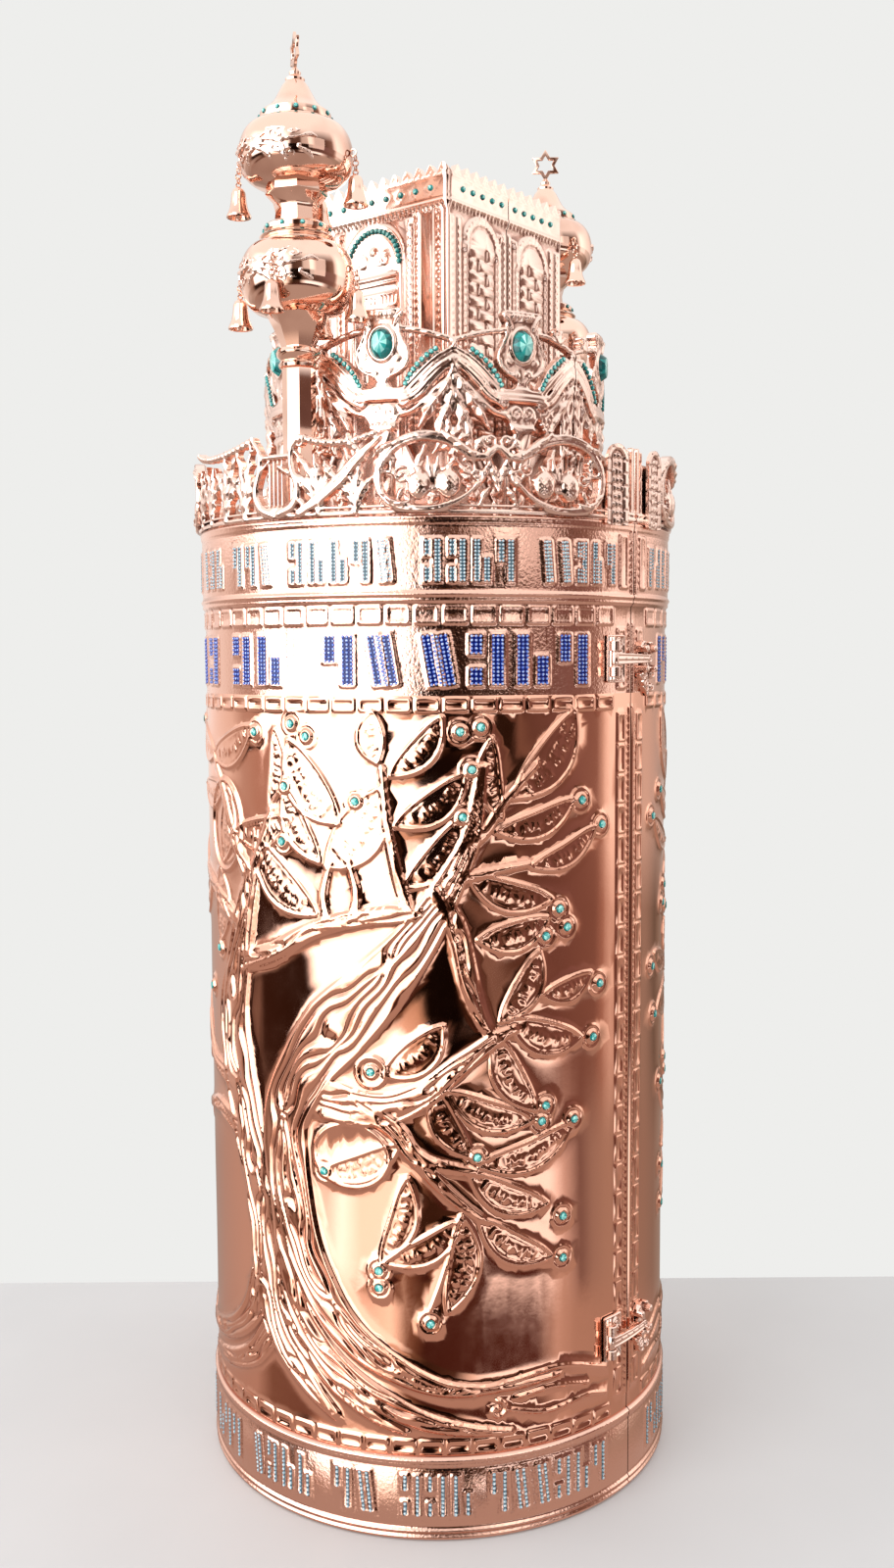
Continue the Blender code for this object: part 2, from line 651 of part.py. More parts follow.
def latch(level):
    """A hook latch: a plate with lugs and a pin, a hasp across the seam, a catch on the door."""
    height = LATCHES[level]
    ground = CASE_RADIUS + (1.0 * MM)
    axis = place(HASP_ANGLE, height * MM, HASP_RADIUS)
    spot = (axis.x, axis.y)
    z = height * MM
    mesh = bmesh.new()
    flat_plate(mesh, PLATE_ANGLE, height, 8.0, 14.0, ground, ground + 1.6 * MM)
    plate = thing(f"{level}_latch_plate", mesh)
    lugs = bmesh.new()
    for low, high in ((-10.5, -4.4), (4.4, 10.5)):
        rod(lugs, spot, 3.2 * MM, z + low * MM, z + high * MM)
    boolean(plate, lugs, "UNION")
    pin = bmesh.new()
    rod(pin, spot, 0.9 * MM, z - 6 * MM, z + 6 * MM)
    boolean(plate, pin, "UNION")
    tidy(plate)

    mesh = bmesh.new()
    rod(mesh, spot, 2.2 * MM, z - 4.0 * MM, z + 4.0 * MM)
    hasp = thing(f"{level}_hasp", mesh)
    tongue = bmesh.new()
    rings = []
    for angle, half_height in ((HASP_ANGLE - 0.3, 3.6), (4.0, 3.2), (-1.0, 2.8), (-5.2, 2.6)):
        near = place(angle, 0.0, HASP_RADIUS + 0.2 * MM)
        far = place(angle, 0.0, HASP_RADIUS + 1.9 * MM)
        rings.append([Vector((near.x, near.y, z - half_height * MM)),
                      Vector((far.x, far.y, z - half_height * MM)),
                      Vector((far.x, far.y, z + half_height * MM)),
                      Vector((near.x, near.y, z + half_height * MM))])
    close(tongue, rings)
    boolean(hasp, tongue, "UNION")
    bore = bmesh.new()
    rod(bore, spot, 1.4 * MM, z - 8 * MM, z + 8 * MM)
    boolean(hasp, bore, "DIFFERENCE")
    tidy(hasp)

    mesh = bmesh.new()
    flat_plate(mesh, 5.6, height - 6.0, 9.5, 17.0, ground, ground + 1.8 * MM, side=-1.0)
    catch = thing(f"{level}_catch", mesh)
    knobs = bmesh.new()
    depth = REACH_FRONT - ground
    for low, high in ((-8.6, -3.2), (3.2, 8.6)):
        for angle in (3.2, 7.4):
            middle = place(angle, 0.0, ground)
            box(knobs, (-middle.x - 2.0 * MM, -REACH_FRONT, z + low * MM),
                (-middle.x + 2.0 * MM, -REACH_FRONT + depth + 1.0 * MM, z + high * MM))
    boolean(catch, knobs, "UNION")
    tidy(catch)
    return plate, hasp, catch, axis


# ---------------------------------------------------------------- assembly

for old in list(bpy.data.objects):
    bpy.data.objects.remove(old)

left_pieces = [case_half(), crown_half(), tablet(), coronet_half(), temple_half(), finial()]
left_pieces += [bell(index + 1, azimuth, centre) for index, (azimuth, centre) in enumerate(BELLS)]
door_pieces = [mirror_image(piece, piece.name.replace("left_", "right_", 1)) for piece in left_pieces]
for level in HINGE_HEIGHTS:
    fixed, moving = hinge(level)
    left_pieces.append(fixed)
    door_pieces.append(moving)
for level in LATCHES:
    plate, hasp, catch, axis = latch(level)
    door_pieces.append(catch)
    hang_on([hasp], f"{level}_hasp_axis", (axis.x, axis.y, 0.0))
hang_on(door_pieces, "door_axis", (0.0, HINGE_Y, 0.0))
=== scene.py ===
"""Looks of a round upright scroll case in polished rose gold: embossed sheets with a tree of life,
bands with set stones, a pierced crown, a coronet of shields, a small temple and two finials.

Lengths of the metalwork are in millimetres and become metres where a mesh is made. Places on the
drum are an angle in degrees from the front seam and a height. The left half is made first, and the
right half, the door, is its mirror image."""

import math

import bpy
import numpy as np
from mathutils import Matrix, Quaternion, Vector


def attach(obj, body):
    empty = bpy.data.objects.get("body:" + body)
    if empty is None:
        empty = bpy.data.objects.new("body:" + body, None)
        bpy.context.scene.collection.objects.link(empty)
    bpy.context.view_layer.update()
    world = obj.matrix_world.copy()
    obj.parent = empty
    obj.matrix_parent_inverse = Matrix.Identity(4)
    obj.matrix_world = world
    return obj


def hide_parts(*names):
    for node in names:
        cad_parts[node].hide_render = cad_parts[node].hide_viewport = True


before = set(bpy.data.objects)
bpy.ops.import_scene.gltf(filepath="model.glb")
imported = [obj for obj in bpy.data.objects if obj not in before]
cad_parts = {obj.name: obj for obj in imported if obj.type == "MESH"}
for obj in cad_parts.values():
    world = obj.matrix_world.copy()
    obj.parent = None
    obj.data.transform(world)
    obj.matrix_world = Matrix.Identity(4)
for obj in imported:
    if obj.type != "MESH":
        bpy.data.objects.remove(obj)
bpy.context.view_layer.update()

MM = 0.001
SEAM = 0.4                      # half of the gap at the seam
DRUM = 147.2                    # radius of the plain wall
BAND = 1.5                      # bands beyond the wall
CROWN = 148.6                   # radius of the lower crown
CORONET = 104.0                 # radius of the inner coronet
CASE_TOP = 588.0
TREE_FOOT = 50.0                # the embossed panel with the tree
TREE_HEAD = 489.0
FINIAL_X = 124.6                # from the seam to the axis of a finial
HASP_ANGLE = 8.6                # where the hasps' axis is: degrees from the front seam, and radius
HASP_RADIUS = 152.6
# Each half with its side of the seam and the body it belongs to.
HALVES = (("left", -1.0, "case_body"), ("right", 1.0, "door"))


# ---------------------------------------------------------------- small helpers

def select(*pieces):
    """Make these pieces, and nothing else, the selection; the last is active."""
    if bpy.context.object and bpy.context.object.mode != "OBJECT":
        bpy.ops.object.mode_set(mode="OBJECT")
    bpy.ops.object.select_all(action="DESELECT")
    for piece in pieces:
        piece.select_set(True)
        bpy.context.view_layer.objects.active = piece


def named(piece, name):
    """Give a piece and its mesh one name."""
    piece.name = name
    piece.data.name = name
    return piece


def new_piece(name, mesh):
    """A piece in the scene for a mesh, both of one name."""
    piece = named(bpy.data.objects.new(name, mesh), name)
    bpy.context.scene.collection.objects.link(piece)
    return piece


def given(piece, slot_name, body):
    """Attach a piece to the body it rides on; the slot name is not used."""
    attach(piece, body)
    return piece


def edit_all(piece, *steps):
    """Run (operator, settings) steps in edit mode, each on all of one piece."""
    select(piece)
    bpy.ops.object.mode_set(mode="EDIT")
    for operator, settings in steps:
        bpy.ops.mesh.select_all(action="SELECT")
        operator(**settings)
    bpy.ops.object.mode_set(mode="OBJECT")


def spin(piece, steps, angle):
    """Spin a profile about the upright axis, close its seam and turn its faces outwards."""
    edit_all(piece, (bpy.ops.mesh.spin, dict(steps=steps, angle=angle, center=(0, 0, 0), axis=(0, 0, 1))),
             (bpy.ops.mesh.remove_doubles, dict(threshold=0.00001)),
             (bpy.ops.mesh.normals_make_consistent, dict(inside=False)))


def raised(value, where, height):
    """The value, or a height where that is higher, inside an area."""
    return np.maximum(value, np.where(where, height, 0.0))


# ---------------------------------------------------------------- a sheet of metal worked flat

def smooth_path(points, step=1.6):
    """Points a small step apart on a smooth curve through the given ones."""
    points = np.array(points, float)
    ends = np.vstack([2 * points[0] - points[1], points, 2 * points[-1] - points[-2]])
    curve = []
    for index in range(len(points) - 1):
        before, start, finish, after = ends[index:index + 4]
        count = max(2, int(np.linalg.norm(finish - start) / step))
        for part in np.arange(count) / count:
            curve.append(0.5 * (2 * start + (finish - before) * part
                                + (2 * before - 5 * start + 4 * finish - after) * part ** 2
                                + (3 * start - before - 3 * finish + after) * part ** 3))
    curve.append(points[-1])
    return np.array(curve)


def blurred(values, reach, rounds=2):
    """Values spread over their neighbours, reach cells each way."""
    for _ in range(rounds):
        for axis in (0, 1):
            padded = np.pad(values, [(reach + 1, reach) if a == axis else (0, 0) for a in (0, 1)], "edge")
            total = np.cumsum(padded, axis=axis)
            span = 2 * reach + 1
            if axis == 0:
                values = (total[span:] - total[:-span]) / span
            else:
                values = (total[:, span:] - total[:, :-span]) / span
    return values


def line_at(distance, place, width):
    """A raised line's height, from 0 to 1, at a distance from something."""
    return np.exp(-((distance - place) / width) ** 2)


def dome(share):
    """A rounded height from 1 in the middle to 0 at share 1."""
    return np.sqrt(np.clip(1.0 - share ** 2, 0.0, 1.0))


class Sheet:
    """A grid of heights over a flat sheet, across and up in mm, with the metal that it keeps."""

    def __init__(self, width, low, high, pitch, unit=1.0, pierced=False, start=0.0):
        self.unit = unit                      # mm across for each unit that places are given in
        self.across = start + np.linspace(0.0, width, int(round(width / pitch)) + 1)
        self.up = np.linspace(low, high, int(round((high - low) / pitch)) + 1)
        self.S, self.Z = np.meshgrid(self.across, self.up)
        self.height = np.zeros(self.S.shape)
        self.metal = np.full(self.S.shape, not pierced)
        self.bright = np.zeros(self.S.shape)  # 1 on worked metal, 0 on the ground

    def window(self, low, high):
        """The part of the grid between two corners in mm."""
        s0, s1 = np.searchsorted(self.across, (low[0], high[0]))
        z0, z1 = np.searchsorted(self.up, (low[1], high[1]))
        return slice(z0, max(z1, z0)), slice(s0, max(s1, s0))

    def lift(self, part, value, inside=None):
        """Raise the sheet to a height where that is higher; inside says where metal is kept."""
        self.height[part] = np.maximum(self.height[part], value)
        if inside is not None:
            self.metal[part] |= inside
        self.bright[part] = np.maximum(self.bright[part], value > 0.25)

    def press(self, part, value, inside):
        """Raise the sheet inside an area, and keep its metal there."""
        self.lift(part, np.where(inside, value, 0.0), inside)

    def trace(self, path, widths):
        """Round a path: the window, distance across, distance along, half width and full length.
        The widths are one for each point of the path, a few at even steps, or a single one."""
        widths = np.atleast_1d(widths)
        path = np.array(path, float) * (self.unit, 1.0)
        curve = smooth_path(path)
        steps = np.linalg.norm(np.diff(curve, axis=0), axis=1)
        length = np.concatenate([[0.0], np.cumsum(steps)])
        marks = np.linspace(0.0, length[-1], len(widths))
        if len(widths) == len(path):
            chords = np.concatenate([[0.0], np.cumsum(np.linalg.norm(np.diff(path, axis=0), axis=1))])
            marks = chords * length[-1] / chords[-1]
        half = np.interp(length, marks, widths)
        room = max(widths) + 2.0              # half the width that is looked at
        part = self.window(curve.min(0) - room, curve.max(0) + room)
        shape = self.S[part].shape
        nearest = np.full(shape, 1e9)
        side, along, wide = np.full(shape, 1e3), np.zeros(shape), np.ones(shape)
        for index in range(len(steps)):
            start, finish = curve[index], curve[index + 1]
            near = self.window(np.minimum(start, finish) - room, np.maximum(start, finish) + room)
            inner = (slice(near[0].start - part[0].start, near[0].stop - part[0].start),
                     slice(near[1].start - part[1].start, near[1].stop - part[1].start))
            run = finish - start
            ds, dz = self.S[near] - start[0], self.Z[near] - start[1]
            share = np.clip((ds * run[0] + dz * run[1]) / (run @ run + 1e-9), 0.0, 1.0)
            gap = np.hypot(ds - share * run[0], dz - share * run[1])
            closer = gap < nearest[inner]
            sign = np.sign(run[0] * dz - run[1] * ds)
            for store, value in ((nearest, gap), (side, gap * sign),
                                 (along, length[index] + share * steps[index]),
                                 (wide, half[index] + share * (half[index + 1] - half[index]))):
                view = store[inner]
                view[closer] = value[closer]
        return part, side, along, wide, length[-1]

    def around(self, place, reach):
        """Distance from a point, and its direction, within a reach."""
        centre = np.array(place, float) * (self.unit, 1.0)
        part = self.window(centre - reach, centre + reach)
        ds, dz = self.S[part] - centre[0], self.Z[part] - centre[1]
        return part, ds, dz

    def wire(self, path, widths, rise):
        """A round raised wire along a path."""
        part, side, _, wide, _ = self.trace(path, widths)
        share = np.abs(side) / wide
        self.press(part, rise * dome(share), share < 1.0)

    def ball(self, place, size, rise, base=0.0):
        """A round knob."""
        part, ds, dz = self.around(place, size + 1.0)
        share = np.hypot(ds, dz) / size
        self.press(part, base + rise * dome(share), share < 1.0)

    def ring(self, place, radius, width, rise, tall=1.0, fill=0.0):
        """A raised ring, with the field inside raised to fill."""
        part, ds, dz = self.around(place, (radius + 3 * width) * max(1.0, tall))
        reach = np.hypot(ds, dz / tall)
        value = raised(rise * line_at(reach, radius, width), reach < radius, fill)
        self.lift(part, value, reach < radius + width)

    def panel(self, low, high, rim, width, fill=0.0, corner=1.0):
        """A rectangle between two corners, with a raised rim of that width."""
        low, high = np.array(low, float), np.array(high, float)
        low[0], high[0] = low[0] * self.unit, high[0] * self.unit
        part = self.window(low - 2 * width, high + 2 * width)
        middle, half = (low + high) / 2, (high - low) / 2 - corner
        ds = np.abs(self.S[part] - middle[0]) - half[0]
        dz = np.abs(self.Z[part] - middle[1]) - half[1]
        outside = np.hypot(np.maximum(ds, 0), np.maximum(dz, 0)) + np.minimum(np.maximum(ds, dz), 0)
        edge = outside - corner
        self.lift(part, raised(rim * line_at(edge, -width, width * 0.75), edge < 0, fill), edge < 0)

    def curl(self, centre, radius, turns, start, hand, width, rise):
        """A volute that winds in from its outer end, with an eye in its middle."""
        count = max(8, int(16 * turns))
        path = []
        for index in range(count + 1):
            share = index / count
            angle = math.radians(start) + hand * 2 * math.pi * turns * share
            reach = radius * (1.0 - 0.86 * share)
            path.append((centre[0] + reach * math.cos(angle) / self.unit,
                         centre[1] + reach * math.sin(angle)))
        self.wire(path, (width, width * 0.8, width * 0.55), rise)
        self.ball(centre, width * 0.9, rise * 1.1)

    def acanthus(self, path, widths, rise, lobes=5):
        """A lobed leaf with a rib along it and veins that run out to its lobes."""
        part, side, along, wide, length = self.trace(path, widths)
        share_along = along / length
        edge = np.abs(side) / wide
        lobe = np.abs(np.sin(math.pi * (lobes * share_along - 0.5 * edge)))
        inside = edge < 0.55 + 0.45 * lobe ** 0.6
        vein = np.cos(2 * math.pi * (lobes * share_along - 0.55 * edge))
        value = rise * (0.42 + 0.4 * dome(edge) + 0.16 * vein)
        value = value + 0.35 * rise * line_at(side, 0.0, 0.12 * wide + 0.2)
        self.press(part, value, inside)


# ---------------------------------------------------------------- from a flat sheet to a mesh

def on_drum(radius):
    """Bend a sheet round the left half of the drum: across becomes the way from the front seam."""
    def bend(across, up, height):
        turn = across / radius
        reach = radius + height
        return np.stack([-reach * np.sin(turn) - SEAM, -reach * np.cos(turn), up], -1)

    def flatten(points):
        turn = np.arctan2(-points[:, 0] - SEAM, -points[:, 1])
        return turn * radius, points[:, 2], np.hypot(points[:, 0] + SEAM, points[:, 1]) - radius

    return bend, flatten


def grid_mesh(points, faces):
    """A mesh from arrays of points in mm and faces with the same number of corners each."""
    mesh = bpy.data.meshes.new("sheet")
    corners = faces.shape[1]
    mesh.vertices.add(len(points))
    mesh.vertices.foreach_set("co", (points * MM).astype(np.float32).ravel())
    mesh.loops.add(faces.size)
    mesh.loops.foreach_set("vertex_index", faces.astype(np.int32).ravel())
    mesh.polygons.add(len(faces))
    mesh.polygons.foreach_set("loop_start", np.arange(0, faces.size, corners, dtype=np.int32))
    mesh.update(calc_edges=True)
    return mesh


def smooth_rim(points, faces, rounds=6):
    """Even out the stepped outline of pierced work, in the plane of the sheet."""
    sides = np.concatenate([faces[:, [k, (k + 1) % 4]] for k in range(4)])
    ordered = np.sort(sides, axis=1)
    keys = ordered[:, 0].astype(np.int64) * len(points) + ordered[:, 1]
    _, first, count = np.unique(keys, return_index=True, return_counts=True)
    rim = sides[first[count == 1]]
    weight = np.bincount(rim.ravel(), minlength=len(points)).astype(float)
    edge = weight > 0
    for _ in range(rounds):
        total = np.zeros((len(points), 2))
        for a, b in ((0, 1), (1, 0)):
            for axis in (0, 1):
                total[:, axis] += np.bincount(rim[:, a], points[rim[:, b], axis], len(points))
        points[edge, :2] += 0.5 * (total[edge] / weight[edge, None] - points[edge, :2])
    return rim


def beaten(sheet, bend, flatten, faces_kept, back, closed):
    """The sheet as a mesh on its form: bent, given its back or its edges, and thinned where it is
    plain. Gives arrays that both halves are made from: points, corners, normals and patterns."""
    metal = sheet.metal
    quad = metal[:-1, :-1] & metal[1:, :-1] & metal[:-1, 1:] & metal[1:, 1:]
    rows, cols = np.nonzero(quad)
    width = metal.shape[1]
    corner = rows * width + cols
    faces = np.stack([corner, corner + 1, corner + width + 1, corner + width], 1)
    spot, beside, above, outside = bend(50.0 + np.array((0, 1, 0, 0)), np.array((0.0, 0, 1, 0)),
                                        np.array((0.0, 0, 0, 1)))
    if np.dot(np.cross(beside - spot, above - spot), outside - spot) < 0:
        faces = faces[:, ::-1]                                # so that the faces point outwards
    used, faces = np.unique(faces, return_inverse=True)
    faces = faces.reshape(-1, 4)
    flat = np.stack([sheet.S.ravel()[used], sheet.Z.ravel()[used], sheet.height.ravel()[used]], 1)
    rim = smooth_rim(flat, faces, 6 if closed else 0)
    count = len(flat)
    behind = flat.copy()
    behind[:, 2] = back
    if closed:
        walls = np.stack([rim[:, 1], rim[:, 0], rim[:, 0] + count, rim[:, 1] + count], 1)
        faces = np.concatenate([faces, faces[:, ::-1] + count, walls])
        flat = np.concatenate([flat, behind])
    else:
        edge, position = np.unique(rim, return_inverse=True)
        position = position.reshape(-1, 2) + count
        walls = np.stack([rim[:, 1], rim[:, 0], position[:, 0], position[:, 1]], 1)
        faces = np.concatenate([faces, walls])
        flat = np.concatenate([flat, behind[edge]])
    piece = new_piece("sheet", grid_mesh(bend(flat[:, 0], flat[:, 1], flat[:, 2]), faces))
    modifier = piece.modifiers.new("thin", "DECIMATE")
    modifier.ratio = min(1.0, faces_kept / (2.0 * len(faces)))
    select(piece)
    bpy.ops.object.modifier_apply(modifier="thin")
    return read_back(piece, sheet, bend, flatten, back)


def read_back(piece, sheet, bend, flatten, back):
    """Arrays of the thinned mesh, with normals and patterns from the full sheet."""
    mesh = piece.data
    points = np.empty(len(mesh.vertices) * 3, np.float32)
    mesh.vertices.foreach_get("co", points)
    points = points.reshape(-1, 3).astype(float) / MM
    mesh.calc_loop_triangles()
    corners = np.empty(len(mesh.loop_triangles) * 3, np.int32)
    mesh.loop_triangles.foreach_get("vertices", corners)
    corners = corners.reshape(-1, 3)
    bpy.data.objects.remove(piece)
    bpy.data.meshes.remove(mesh)
    across, up, height = flatten(points)
    rear = np.abs(height - back) < 0.3                        # the back is laid true again
    points[rear] = bend(across[rear], up[rear], np.full(rear.sum(), back))
    step_s = sheet.across[1] - sheet.across[0]
    step_z = sheet.up[1] - sheet.up[0]
    slope_z, slope_s = np.gradient(sheet.height, step_z, step_s)
    column = np.clip((across - sheet.across[0]) / step_s, 0, len(sheet.across) - 1.001)
    row = np.clip((up - sheet.up[0]) / step_z, 0, len(sheet.up) - 1.001)
    c, r = column.astype(int), row.astype(int)
    fc, fr = column - c, row - r

    def sample(field):
        """The field at each point, between its four cells."""
        return ((field[r, c] * (1 - fc) + field[r, c + 1] * fc) * (1 - fr)
                + (field[r + 1, c] * (1 - fc) + field[r + 1, c + 1] * fc) * fr)

    ds, dz = sample(slope_s), sample(slope_z)
    small = 0.05
    here = bend(across, up, height)
    out = bend(across, up, height + 1.0) - here
    side = (bend(across + small, up, height) - bend(across - small, up, height)) / (2 * small)
    side /= np.linalg.norm(side, axis=1)[:, None]
    normal = out - side * ds[:, None] - np.array((0.0, 0.0, 1.0)) * dz[:, None]
    normal /= np.linalg.norm(normal, axis=1)[:, None]
    a, b, d = (points[corners[:, k]] for k in range(3))
    face = np.cross(b - a, d - a)
    face /= np.linalg.norm(face, axis=1)[:, None] + 1e-12
    facing = (face * out[corners[:, 0]]).sum(1)[:, None, None]      # 1 in front, 0 on an edge, -1 behind
    normals = np.where(facing > 0.12, normal[corners],
                       np.where(facing < -0.6, -out[corners], face[:, None, :]))
    # How far each point lies below its blurred surroundings: the hollow pattern, from which the metal
    # finishes paint shade into recesses.
    hollow = blurred(sheet.height, max(2, int(2.5 / step_s))) - sheet.height
    patterns = {"hollow": np.clip(sample(hollow), -1.0, 2.0), "worked": sample(sheet.bright)}
    return points, corners, normals, patterns


def make_half(name, arrays, side, finish, slot_name, body):
    """One half's piece from the arrays; the right half is turned over at the seam."""
    points, corners, normals, patterns = arrays
    flip = np.array((-side, 1.0, 1.0))
    if side > 0:
        corners, normals = corners[:, ::-1], normals[:, ::-1]
    mesh = grid_mesh(points * flip, corners)
    for label, values in patterns.items():
        store = mesh.attributes.new(label, "FLOAT", "POINT")
        store.data.foreach_set("value", values.astype(np.float32))
    mesh.shade_smooth()
    mesh.normals_split_custom_set((normals * flip).reshape(-1, 3).tolist())
    mesh.materials.append(finish)
    return given(new_piece(name, mesh), slot_name, body)


# ---------------------------------------------------------------- materials

def linear(code):
    """A linear colour from an sRGB hex value."""
    values = [int(code[k:k + 2], 16) / 255.0 for k in (1, 3, 5)]
    return tuple(v / 12.92 if v <= 0.04045 else ((v + 0.055) / 1.055) ** 2.4 for v in values) + (1.0,)


def add(tree, kind, links=(), **settings):
    """Add a node, set its sockets and properties by name, and link (output, socket) pairs into it."""
    node = tree.nodes.new(kind)
    for name, value in settings.items():
        label = name.replace("_", " ").title()
        if hasattr(node, name) and label not in node.inputs:
            setattr(node, name, value)
        else:
            node.inputs[label].default_value = value
    for source, socket in links:
        tree.links.new(source, node.inputs[socket])
    return node


def new_material(name, colour, metallic, roughness):
    """A material with its shader, and the node tree to work in."""
    made = bpy.data.materials.new(name)
    made.use_nodes = True
    shader = made.node_tree.nodes["Principled BSDF"]
    shader.inputs["Base Color"].default_value = linear(colour)
    shader.inputs["Metallic"].default_value = metallic
    shader.inputs["Roughness"].default_value = roughness
    return made, made.node_tree, shader


def ramp(tree, source, stops):
    """Colours along a value from (place, hex colour) stops."""
    node = add(tree, "ShaderNodeValToRGB", [(source, "Fac")])
    while len(node.color_ramp.elements) < len(stops):
        node.color_ramp.elements.new(0.5)
    for element, (place, colour) in zip(node.color_ramp.elements, stops):
        element.position = place
        element.color = linear(colour)
    return node.outputs["Color"]


def rose_gold(name, light, dark, rough, grain_mm, grain_depth, depth=0.9):
    """Polished rose-gold plate on worked brass: bright on the high parts, with painted shade that turns it
    brown in hollows. Grain is in mm; depth is how far below its surroundings, in mm, the painted shade is
    at its darkest. With no depth there is no painted shade, and the darker colour only comes in at random."""
    made, tree, shader = new_material(name, light, 1.0, rough)
    where = add(tree, "ShaderNodeTexCoord").outputs["Object"]
    cloud = add(tree, "ShaderNodeTexNoise", [(where, "Vector")], scale=1.0 / 0.045, detail=3.0)
    tone = cloud.outputs["Fac"]
    # Painted shade in recesses: the further a point lies below its surroundings, the nearer it comes to the
    # dark colour; a little random cloud is added.
    if depth:
        hollow = add(tree, "ShaderNodeAttribute", attribute_name="hollow").outputs["Fac"]
        sunk = add(tree, "ShaderNodeMapRange", [(hollow, "Value")], from_min=0.0, from_max=depth)
        mixed = add(tree, "ShaderNodeMath", [(sunk.outputs["Result"], 0)], operation="MULTIPLY_ADD")
        mixed.inputs[1].default_value = 0.75
        haze = add(tree, "ShaderNodeMath", [(tone, 0)], operation="MULTIPLY")
        haze.inputs[1].default_value = 0.16
        tree.links.new(haze.outputs[0], mixed.inputs[2])
        tone = mixed.outputs[0]
    tree.links.new(ramp(tree, tone, ((0.0, light), (0.25 if depth else 0.5, light), (1.0, dark))),
                   shader.inputs["Base Color"])
    smear = add(tree, "ShaderNodeTexNoise", [(where, "Vector")], scale=1.0 / 0.012, detail=4.0)
    wear = add(tree, "ShaderNodeMapRange", [(smear.outputs["Fac"], "Value")],
               from_min=0.3, from_max=0.8, to_min=rough * 0.75, to_max=rough * 1.5)
    tree.links.new(wear.outputs["Result"], shader.inputs["Roughness"])
    grain = add(tree, "ShaderNodeTexNoise", [(where, "Vector")],
                scale=1000.0 / grain_mm, detail=2.0, roughness=0.55)
    bump = add(tree, "ShaderNodeBump", [(grain.outputs["Fac"], "Height")],
               strength=1.0, distance=grain_depth * MM)
    tree.links.new(bump.outputs["Normal"], shader.inputs["Normal"])
    return made


def cut_stone(name, deep, bright, flash):
    """A foil-backed cut glass stone with painted reflections: each facet takes its own tone, from deep to
    bright on the sloping facets, and from bright up to flash, a near-white painted highlight, on the tables.
    """
    made, tree, shader = new_material(name, deep, 0.0, 0.1)
    facet = add(tree, "ShaderNodeAttribute", attribute_name="facet").outputs["Fac"]
    tree.links.new(ramp(tree, facet, ((0.0, deep), (0.6, bright), (1.0, flash))), shader.inputs["Base Color"])
    shader.inputs["IOR"].default_value = 1.5
    return made


def velvet():
    """Cotton velvet that lines the case: deep wine red with a soft sheen."""
    made, tree, shader = new_material("wine_velvet", "#5B1626", 0.0, 0.9)
    where = add(tree, "ShaderNodeTexCoord").outputs["Object"]
    pile = add(tree, "ShaderNodeTexNoise", [(where, "Vector")], scale=1000.0 / 0.9, detail=3.0)
    tree.links.new(ramp(tree, pile.outputs["Fac"], ((0.3, "#471020"), (0.7, "#74233A"))),
                   shader.inputs["Base Color"])
    bump = add(tree, "ShaderNodeBump", [(pile.outputs["Fac"], "Height")],
               strength=0.5, distance=0.3 * MM)
    tree.links.new(bump.outputs["Normal"], shader.inputs["Normal"])
    shader.inputs["Sheen Weight"].default_value = 0.7
    shader.inputs["Sheen Roughness"].default_value = 0.4
    return made


# Each metal gets its own colour, then the darker colour of the painted shade in its hollows; where it has no
# depth, that darker colour only comes in at random.
# Thin sheet, embossed from behind and polished: a near mirror with fine orange peel.
SHEET_METAL = rose_gold("embossed_rose_gold_sheet", "#F0B8A0", "#6A3220", 0.07, 6.0, 0.012)
# The bands' ground is planished with a small hammer, so it glitters.
BAND_METAL = rose_gold("hammered_rose_gold_band", "#F1C4B2", "#7A3A22", 0.12, 1.7, 0.16)
# Cast ornament keeps a softer polish, and its depths take the painted shade sooner.
CAST_METAL = rose_gold("cast_rose_gold_ornament", "#F5D8CB", "#7A4028", 0.16, 2.5, 0.03, 0.55)
# Turned and plated pieces are the smoothest of all.
TURNED_METAL = rose_gold("turned_rose_gold", "#F6D2C0", "#8A4A30", 0.06, 9.0, 0.006, 0.0)
HINGE_METAL = rose_gold("hinge_plated_steel", "#DDB29E", "#5E2817", 0.22, 1.2, 0.02, 0.0)
# Stone colours: deep, bright, and flash, the near-white of the painted highlight on the tables.
TEAL = cut_stone("teal_cut_glass", "#06484A", "#22A09C", "#BCFFF6")
BLUE = cut_stone("blue_cut_glass", "#101C66", "#3A62CE", "#D2E4FF")
PALE = cut_stone("pale_blue_cut_glass", "#46606E", "#97B4C0", "#F2FAFF")
VELVET = velvet()


# ---------------------------------------------------------------- stones

def stone_shape(sides=6):
    """A cut stone of unit radius: sloping facets and a flat table; z is outwards."""
    turn = 2 * np.pi * np.arange(sides) / sides
    girdle = np.stack([np.cos(turn), np.sin(turn), np.zeros(sides)], 1)
    table = np.stack([0.68 * np.cos(turn + np.pi / sides), 0.68 * np.sin(turn + np.pi / sides),
                      np.full(sides, 0.62)], 1)
    points = np.concatenate([girdle, table, [(0.0, 0.0, 0.62)]])
    faces = []
    for k in range(sides):
        n = (k + 1) % sides
        faces += [(k, n, sides + k), (n, sides + n, sides + k), (sides + k, sides + n, 2 * sides)]
    return points, np.array(faces)


